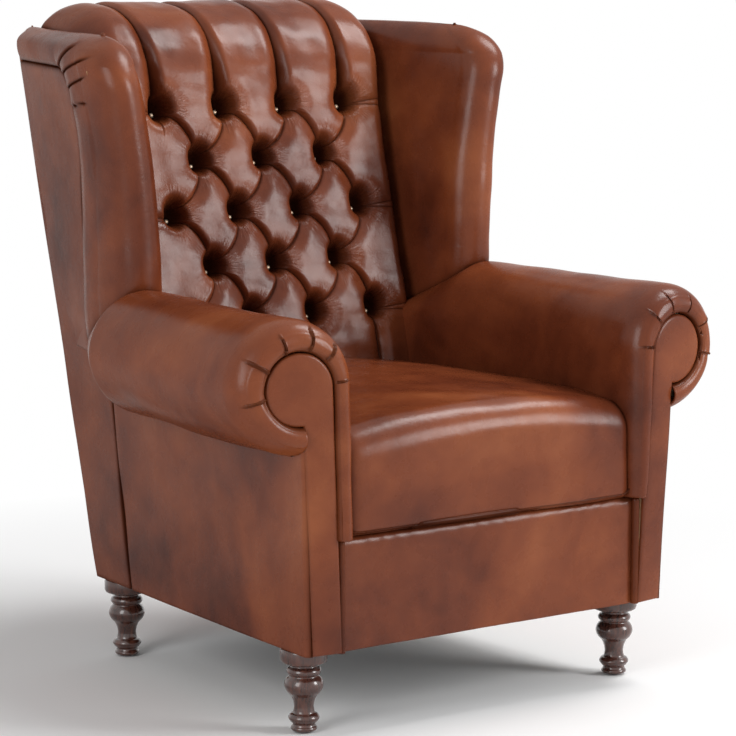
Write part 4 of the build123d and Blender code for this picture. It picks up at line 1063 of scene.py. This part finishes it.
def pulled_folds(x, t):
    """Fine wrinkles that run out from the buttons: place along and round the nearest one, and strength."""
    spread = spread_x(x, t)
    nearest = np.full(len(x), 1.0)
    rays = np.zeros((len(x), 4))
    for i, (x0, t0) in enumerate(button_places()):
        across, up = spread - x0, t - t0 - 0.006
        away = np.hypot(across, up)
        angle = np.arctan2(up, across)
        rightward = 0.30 + 0.70 * smooth((np.cos(angle - 0.1) + 0.6) / 1.3)
        fade = np.exp(-(away / 0.036) ** 1.6) * smooth((away - 0.008) / 0.010)
        strength = rightward * fade * smooth((math.pi - 0.25 - np.abs(angle)) / 0.3)
        near = away < nearest
        nearest = np.where(near, away, nearest)
        found = np.stack([angle * 12.0, away * 30.0, 0 * away + i * 7.3, strength], 1)
        rays = np.where(near[:, None], found, rays)
    edge = smooth((0.056 - nearest) / 0.016)
    rays[:, 3] *= edge
    return rays


def crest_at(run):
    y = np.interp(run, crest_run_so_far, crest[:, 1])
    z = np.interp(run, crest_run_so_far, crest[:, 2])
    return y, z


back_reach = 1.14                                # the sheet runs this far past its edges, as flaps
flap_depth = 0.055
flap_flare = 0.014


def back_part(u, v):
    """Place on the crown of the folds for a place on the sheet: x, run, half width and flap share."""
    run = v * crest_run_so_far[-1]
    y, z = crest_at(run)
    t = run - slope_length + crest_start
    half = back_half + np.maximum(t, 0) * crest_flare * 0.75 - 0.020 * smooth((t - 0.20) / 0.12)
    across = (u * 2 - 1) * back_reach
    flap = np.clip((np.abs(across) - 1) / (back_reach - 1), 0, 1)
    x = np.clip(across, -1, 1) * half
    return x, y, z, t, half, flap


def make_back():
    columns, rows = ((410, 610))
    rough = np.gradient(crest, crest_run_so_far, axis=0)
    shape = {}

    def place(u, v):
        x, y, z, t, half, flap = back_part(u, v)
        run = v * crest_run_so_far[-1]
        ty = np.interp(run, crest_run_so_far, rough[:, 1])
        tz = np.interp(run, crest_run_so_far, rough[:, 2])
        size = np.hypot(ty, tz)
        depth, crease_shade = tuft_relief(x, t, half)
        rear = smooth((t - 0.22) / 0.12)
        depth = depth * (1 - rear * 0.35)
        lift = -depth - flap * flap_depth
        x = x + np.sign(x) * flap * flap_flare * (1 - smooth((t - 0.12) / 0.15))
        # Painted shade on the side flaps, which go down out of sight
        shape["crease_shade"] = np.maximum(crease_shade * (1 - rear * 0.5), flap * 0.6)
        shape["rays"] = pulled_folds(x, t)
        return np.stack([x, y - tz / size * lift, z + ty / size * lift], 1)

    back = Skin("tufted_back_leather", even(columns), even(rows), place)
    back.crease_shade, back.rays = shape["crease_shade"], shape["rays"]
    back.swell(0.10, 0.0010, 51)
    back.swell(0.035, 0.0004, 53)
    return back


def turn_piece(bm, profile, steps, move):
    """Spin radius and height pairs round the upright, and put the new points where move says."""
    verts = [bm.verts.new((r, 0.0, h)) for r, h in profile]
    edges = [bm.edges.new(pair) for pair in zip(verts, verts[1:])]
    bmesh.ops.spin(bm, geom=verts + edges, cent=(0, 0, 0), axis=(0, 0, 1), angle=2 * math.pi,
                   steps=steps, use_merge=True, use_duplicate=False)
    for v in [v for v in bm.verts if not v.tag]:
        v.co = move(v.co.copy())
        v.tag = True


button_rise = 0.0045                             # the buttons stand this far above the depth of their hollows


def make_buttons():
    """Domed metal buttons, each with a rolled rim, deep in the tufts."""
    bm = bmesh.new()
    profile = [(0.0, 0.0031), (0.0018, 0.0029), (0.0033, 0.0020), (0.0043, 0.0007), (0.0046, -0.0006),
               (0.0040, -0.0017), (0.0018, -0.0023), (0.0, -0.0025)]
    for x0, t0 in button_places():
        place = Vector(on_slope(x0, t0, tuft_depth - button_rise))
        turn_piece(bm, profile, 20, lambda r: place + Vector((r.x, 0, 0)) + Vector(up_slope) * r.y
                   + Vector(off_slope) * r.z)
    bmesh.ops.remove_doubles(bm, verts=bm.verts, dist=0.00002)
    bmesh.ops.recalc_face_normals(bm, faces=bm.faces)
    return piece("tuft_buttons", bm, button_metal)


# Seat and front rail

seat_side_tuck = 0.006                           # the seat goes this far into the arms
seat_bow = 0.006                                 # the top is fuller in its middle
seat_rear_z = 0.44
seat_under_back = 0.035


def seat_half_at(y):
    return arm_x(y) - roll_inner_at(y) + seat_side_tuck


def seat_surface(u, v):
    across = u * 2 - 1
    top = seat_edge_z + seat_crown * (1 - across ** 2)
    front_y = rail_face - seat_lead
    rise = top - seat_nose - seat_hem
    quarter = seat_nose * math.pi / 2
    rear = crown[1] + (seat_rear_z - first_row_z) * math.tan(rake) + seat_under_back
    flat = rear - front_y - seat_nose
    run = v * (seat_tuck + rise + quarter + flat) - seat_tuck
    up = np.clip(run, 0, rise)
    turn = np.clip((run - rise) / quarter, 0, 1) * math.pi / 2
    on = np.clip(run - rise - quarter, 0, flat)
    tuck = np.maximum(-run, 0)
    y = front_y + tuck + seat_nose * (1 - np.cos(turn)) + on
    z = seat_hem + up + seat_nose * np.sin(turn) + seat_bow * np.sin(math.pi * np.clip(on / flat, 0, 1))
    return np.stack([across * seat_half_at(y), y, z], 1)


def make_seat(neighbours):
    seat = Skin("seat_leather", gathered(150, (0.0, 1.0), 0.03, 2.5), gathered(200, (0.03,), 0.02, 4.0),
                seat_surface)
    edge = np.maximum(0, seat_half_at(seat.points[:, 1]) - np.abs(seat.points[:, 0]))
    lower = np.hypot(seat.points[:, 2] - seat_hem, np.maximum(seat.points[:, 1] - rail_face + seat_lead, 0))
    seat.push(-0.014 * np.exp(-(edge / 0.008) ** 1.3) - 0.007 * np.exp(-(lower / 0.006) ** 1.2))
    # Painted shade where the seat tucks in at the arms and at its lower front edge
    seat.crease_shade = 0.9 * np.maximum(np.exp(-edge / 0.004), np.exp(-lower / 0.003))
    seat.swell(0.20, 0.0018, 61)
    seat.swell(0.07, 0.0005, 63)
    # Painted shade where it runs into the arms and the back
    seat.meet(neighbours, 0.006)
    return seat.finish(leather, "leather", 0.003, padded=True)


rail_welt_x = 0.2815
rail_welt_radius = 0.0058


def make_rail_welt(side):
    """Welt down the end of the rail cover, beside the facing, darkened all over by painted shade."""
    def place(u, v):
        over = np.clip((v - 0.96) / 0.04, 0, 1)
        radius = rail_welt_radius * np.sqrt(1 - over ** 2)
        angle = u * 2 * math.pi
        z = hem + (rail_cover_top + 0.001 - hem) * v
        x = rail_welt_x + radius * np.cos(angle)
        return sided(np.stack([x, rail_face - 0.0048 + radius * np.sin(angle), z], 1), side)
    welt = Skin("rail_welt_" + side_name(side), even(16), even(60), place, flip=side < 0, weld=True)
    # Painted shade: the whole welt is darker, as a shadowed join
    welt.crease_shade = 0.35 + 0 * welt.v
    return welt.finish(leather, "leather", 0.0)


def make_rail_cover():
    top = rail_cover_top + 0.002

    def place(u, v):
        z = hem + (top - hem) * v
        return np.stack([(u * 2 - 1) * rail_welt_x, rail_face + 0 * z, z], 1)
    cover = Skin("front_rail_leather", even(240), gathered(90, (1.0,), 0.04, 3.0), place)
    from_top = top - cover.points[:, 2]
    x = cover.points[:, 0]
    pucker = np.sin(x / 0.0055 + 2.2 * np.sin(x / 0.031)) * 0.0007 * np.exp(-from_top / 0.010)
    cover.push(-0.010 * np.exp(-(from_top / 0.006) ** 1.3) + pucker)
    # Painted shade along the top, under the seat's nose
    cover.crease_shade = 0.9 * np.exp(-from_top / 0.0035)
    cover.swell(0.16, 0.0012, 71)
    return cover.finish(leather, "leather")


# Feet

def smooth_profile(points, steps=6):
    """A smooth line through radius and height pairs."""
    points = np.array(points)
    out = []
    for i in range(len(points) - 1):
        before, a = points[max(i - 1, 0)], points[i]
        b, after = points[i + 1], points[min(i + 2, len(points) - 1)]
        for s in np.linspace(0, 1, steps, endpoint=False):
            out.append(0.5 * (2 * a + (b - before) * s + (2 * before - 5 * a + 4 * b - after) * s ** 2
                              + (3 * a - before - 3 * b + after) * s ** 3))
    return out + [points[-1]]


def foot_profile():
    """Half outline of a turned foot, from the glide up to the frame."""
    base = [(0.0176, 0.003), (0.0190, 0.0045), (0.0198, 0.0065), (0.0190, 0.0085), (0.0176, 0.010)]
    ring = [(0.0168, 0.0135), (0.0200, 0.0165), (0.0232, 0.0222), (0.0205, 0.0275), (0.0165, 0.0300)]
    waist = [(0.0150, 0.036), (0.0148, 0.041), (0.0165, 0.049), (0.0200, 0.056)]
    bulb = [(0.0262, 0.063), (0.0292, 0.0715), (0.0272, 0.080), (0.0222, 0.0862)]
    cuff = [(0.0240, 0.0885), (0.0260, 0.0930), (0.0240, 0.0975), (0.0202, 0.0995)]
    cap = [(0.0200, 0.1045), (0.0295, 0.1053), (0.0340, 0.1075), (0.0355, 0.1115), (0.0355, 0.1240),
           (0.0340, 0.1285), (0.0295, 0.1300)]
    turned = [tuple(p) for p in smooth_profile(base + ring + waist + bulb + cuff)]
    return [(0.0, 0.003)] + turned + cap + [(0.0, 0.13)]


foot_cap_radius = 0.0355
foot_back_inset = 0.034                          # back feet, inboard of the rear corner of the base


def make_feet():
    bm = bmesh.new()
    low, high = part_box("feet")
    front_foot = (high.x - foot_cap_radius, low.y + foot_cap_radius)
    back_foot = (front_half - base_taper - foot_back_inset, high.y - foot_cap_radius)
    for x0, y0 in (front_foot, back_foot):
        for side in (-1, 1):
            turn_piece(bm, foot_profile(), 56, lambda r: Vector((r.x + x0 * side, r.y + y0, r.z)))
    bmesh.ops.remove_doubles(bm, verts=bm.verts, dist=0.00002)
    bmesh.ops.recalc_face_normals(bm, faces=bm.faces)
    return piece("turned_feet", bm, foot_wood)


foam_gaps = {"seat_foam": 0.011, "back_foam": 0.003, "arm_foam_left": 0.007, "arm_foam_right": 0.007,
             "wing_foam_left": 0.005, "wing_foam_right": 0.005}


foam_voxel = 0.010
foam_nose_run, foam_nose_fade = 0.11, 0.06       # the wing's foam is slimmer this far behind its front
foam_nose_slim = 0.25
foam_nose_back = 0.006
foam_corner_share = 0.76                         # of the leather's corner curve that the foam fills


def inside_corner(mesh):
    """Keep the wing's foam inside the front roll and the curve of its front top corner."""
    length, height = wing_corner_run + wing_radius, wing_corner
    for v in mesh.vertices:
        spine = math.copysign(float(wing_x(v.co.z)), v.co.x)
        ahead = float(smooth((wing_y + foam_nose_run - v.co.y) / foam_nose_fade))
        v.co.x = spine + (v.co.x - spine) * (1 - foam_nose_slim * ahead)
        v.co.y += foam_nose_back * ahead
        a = (wing_y + wing_corner_run - v.co.y) / length
        b = (v.co.z - wing_top + wing_corner) / height
        far = math.hypot(max(a, 0), max(b, 0))
        if a > 0 and b > 0 and far > foam_corner_share:
            v.co.y = wing_y + wing_corner_run - a * length * foam_corner_share / far
            v.co.z = wing_top - wing_corner + b * height * foam_corner_share / far


def make_foam_piece(node):
    """Foam under the leather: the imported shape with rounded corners, a little smaller."""
    source = frame["nodes"][node]
    bm = bmesh.new()
    bm.from_mesh(source.data)
    bmesh.ops.remove_doubles(bm, verts=bm.verts, dist=0.00005)
    mesh = bpy.data.meshes.new(node + "_block")
    bm.to_mesh(mesh)
    bm.free()
    obj = bpy.data.objects.new(node + "_block", mesh)
    bpy.context.scene.collection.objects.link(obj)
    remesh = obj.modifiers.new("remesh", "REMESH")
    remesh.mode = "VOXEL"
    remesh.voxel_size = foam_voxel
    relax = obj.modifiers.new("relax", "SMOOTH")
    relax.iterations = 4
    shrink = obj.modifiers.new("shrink", "DISPLACE")
    shrink.strength = -foam_gaps[node]
    shrink.mid_level = 0.0
    bpy.context.view_layer.update()
    done = bpy.data.meshes.new_from_object(obj.evaluated_get(bpy.context.evaluated_depsgraph_get()))
    obj.modifiers.clear()
    obj.data = done
    if node.startswith("wing"):
        inside_corner(done)
    done.shade_smooth()
    done.materials.clear()
    done.materials.append(foam)
    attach(obj, "root")
    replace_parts(obj, node)
    return obj


def dress():
    """Every shown piece of the chair."""
    arms, wings = [], []
    for side in (-1, 1):
        end = side_name(side)
        arm = make_arm(side)
        wing = make_wing(side, [arm])
        arms.append(arm)
        wings.append(wing)
        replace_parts(arm.finish(leather, "leather", padded=True), "arm_cover_" + end)
        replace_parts(make_welt(side), "arm_cover_" + end)
        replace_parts(make_facing(side), "arm_facing_" + end)
        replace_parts(wing.finish(leather, "leather", padded=True), "wing_cover_" + end)
        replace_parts(make_wing_panel(side), "outside_wing_panel_" + end)
        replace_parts(make_arm_panel(side), "outside_arm_panel_" + end)
    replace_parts(make_back_panel(), "outside_back_panel")
    back = make_back()
    # Painted shade where the back runs into the wings
    back.meet(wings, 0.004)
    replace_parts(back.finish(leather, "leather", 0.0, padded=True), "back_cover")
    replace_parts(make_buttons(), "back_buttons")
    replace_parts(make_seat(arms + [back]), "seat_cover")
    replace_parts(make_rail_cover(), "front_rail_cover")
    for side in (-1, 1):
        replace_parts(make_rail_welt(side), "front_rail_cover")
    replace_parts(make_feet(), "feet")
    for node in foam_gaps:
        make_foam_piece(node)
    for part in frame["record"]["subparts"]:
        obj = frame["nodes"][part["node"]]
        obj.data.materials.clear()
        obj.data.materials.append(node_finishes[part["material_slot"]])


dress()


# Room, lamps and camera

def seen_by_camera_or_mirror(tree):
    """1 for the rays that show the background: straight, mirrored or through glass."""
    rays = tree.nodes.new("ShaderNodeLightPath")
    seen = rays.outputs["Is Camera Ray"]
    for way in ("Is Glossy Ray", "Is Transmission Ray"):
        either = tree.nodes.new("ShaderNodeMath")
        either.operation = "MAXIMUM"
        tree.links.new(seen, either.inputs[0])
        tree.links.new(rays.outputs[way], either.inputs[1])
        seen = either.outputs[0]
    return seen


def make_floor():
    """Pale floor that keeps the chair's shadow and runs out into the white background."""
    bm = bmesh.new()
    bmesh.ops.create_grid(bm, x_segments=1, y_segments=1, size=14.0)
    mesh = bpy.data.meshes.new("studio_floor")
    bm.to_mesh(mesh)
    bm.free()
    n = Nodes("pale_floor")
    n.wear((0.90, 0.90, 0.90), 0.9, Specular_IOR_Level=0.1)
    length = n.tree.nodes.new("ShaderNodeVectorMath")
    length.operation = "LENGTH"
    n.link(n.coords, length.inputs[0])
    far = n.range(length.outputs["Value"], 0.55, 1.5, 0.0, 1.0)
    far = n.maths("MULTIPLY", far, seen_by_camera_or_mirror(n.tree))
    glow = n.tree.nodes.new("ShaderNodeEmission")
    blend = n.tree.nodes.new("ShaderNodeMixShader")
    n.link(far, blend.inputs[0])
    n.link(n.shader.outputs[0], blend.inputs[1])
    n.link(glow.outputs[0], blend.inputs[2])
    n.link(blend.outputs[0], n.tree.nodes["Material Output"].inputs["Surface"])
    mesh.materials.append(n.material)
    floor = bpy.data.objects.new("studio_floor", mesh)
    bpy.context.scene.collection.objects.link(floor)


def make_world(ambient=0.38):
    """White where the background is seen, and an even light of the ambient strength on the chair."""
    world = bpy.data.worlds.new("studio")
    bpy.context.scene.world = world
    world.use_nodes = True
    tree = world.node_tree
    background = tree.nodes["Background"]
    level = tree.nodes.new("ShaderNodeMapRange")
    level.inputs[3].default_value = ambient
    level.inputs[4].default_value = 1.0
    tree.links.new(seen_by_camera_or_mirror(tree), level.inputs[0])
    tree.links.new(level.outputs[0], background.inputs["Strength"])
    background.inputs["Color"].default_value = (1, 1, 1, 1)


def lamp(name, place, aim, width, height, power):
    """A soft box that points at a place."""
    data = bpy.data.lights.new(name, "AREA")
    data.shape = "RECTANGLE"
    data.size, data.size_y = width, height
    data.energy = power
    obj = bpy.data.objects.new(name, data)
    obj.location = place
    obj.rotation_mode = "QUATERNION"
    obj.rotation_quaternion = (Vector(aim) - Vector(place)).to_track_quat("-Z", "Y")
    bpy.context.scene.collection.objects.link(obj)


def make_camera():
    """The photograph's viewing angle: from the front, a little to the left and above."""
    turn, tilt = math.radians(35.92), math.radians(8.541)
    data = bpy.data.cameras.new("view")
    data.lens, data.sensor_width = 154.08, 36.0
    cam = bpy.data.objects.new("view", data)
    cam.location = (-2.8845, -4.0886, 1.2259)
    ahead = Vector((math.sin(turn) * math.cos(tilt), math.cos(turn) * math.cos(tilt), -math.sin(tilt)))
    cam.rotation_mode = "QUATERNION"
    cam.rotation_quaternion = ahead.to_track_quat("-Z", "Y")
    bpy.context.scene.collection.objects.link(cam)
    bpy.context.scene.camera = cam


make_floor()
make_world()
middle = (0.0, 0.0, 0.6)
lamp("front_right_box", (2.3, -3.0, 1.75), middle, 1.1, 1.7, 84)
lamp("left_box", (-3.3, -1.2, 1.7), middle, 1.4, 2.2, 50)
lamp("top_box", (1.7, -0.3, 2.9), middle, 1.0, 1.3, 55)
make_camera()
bpy.context.scene.view_settings.view_transform = "Standard"
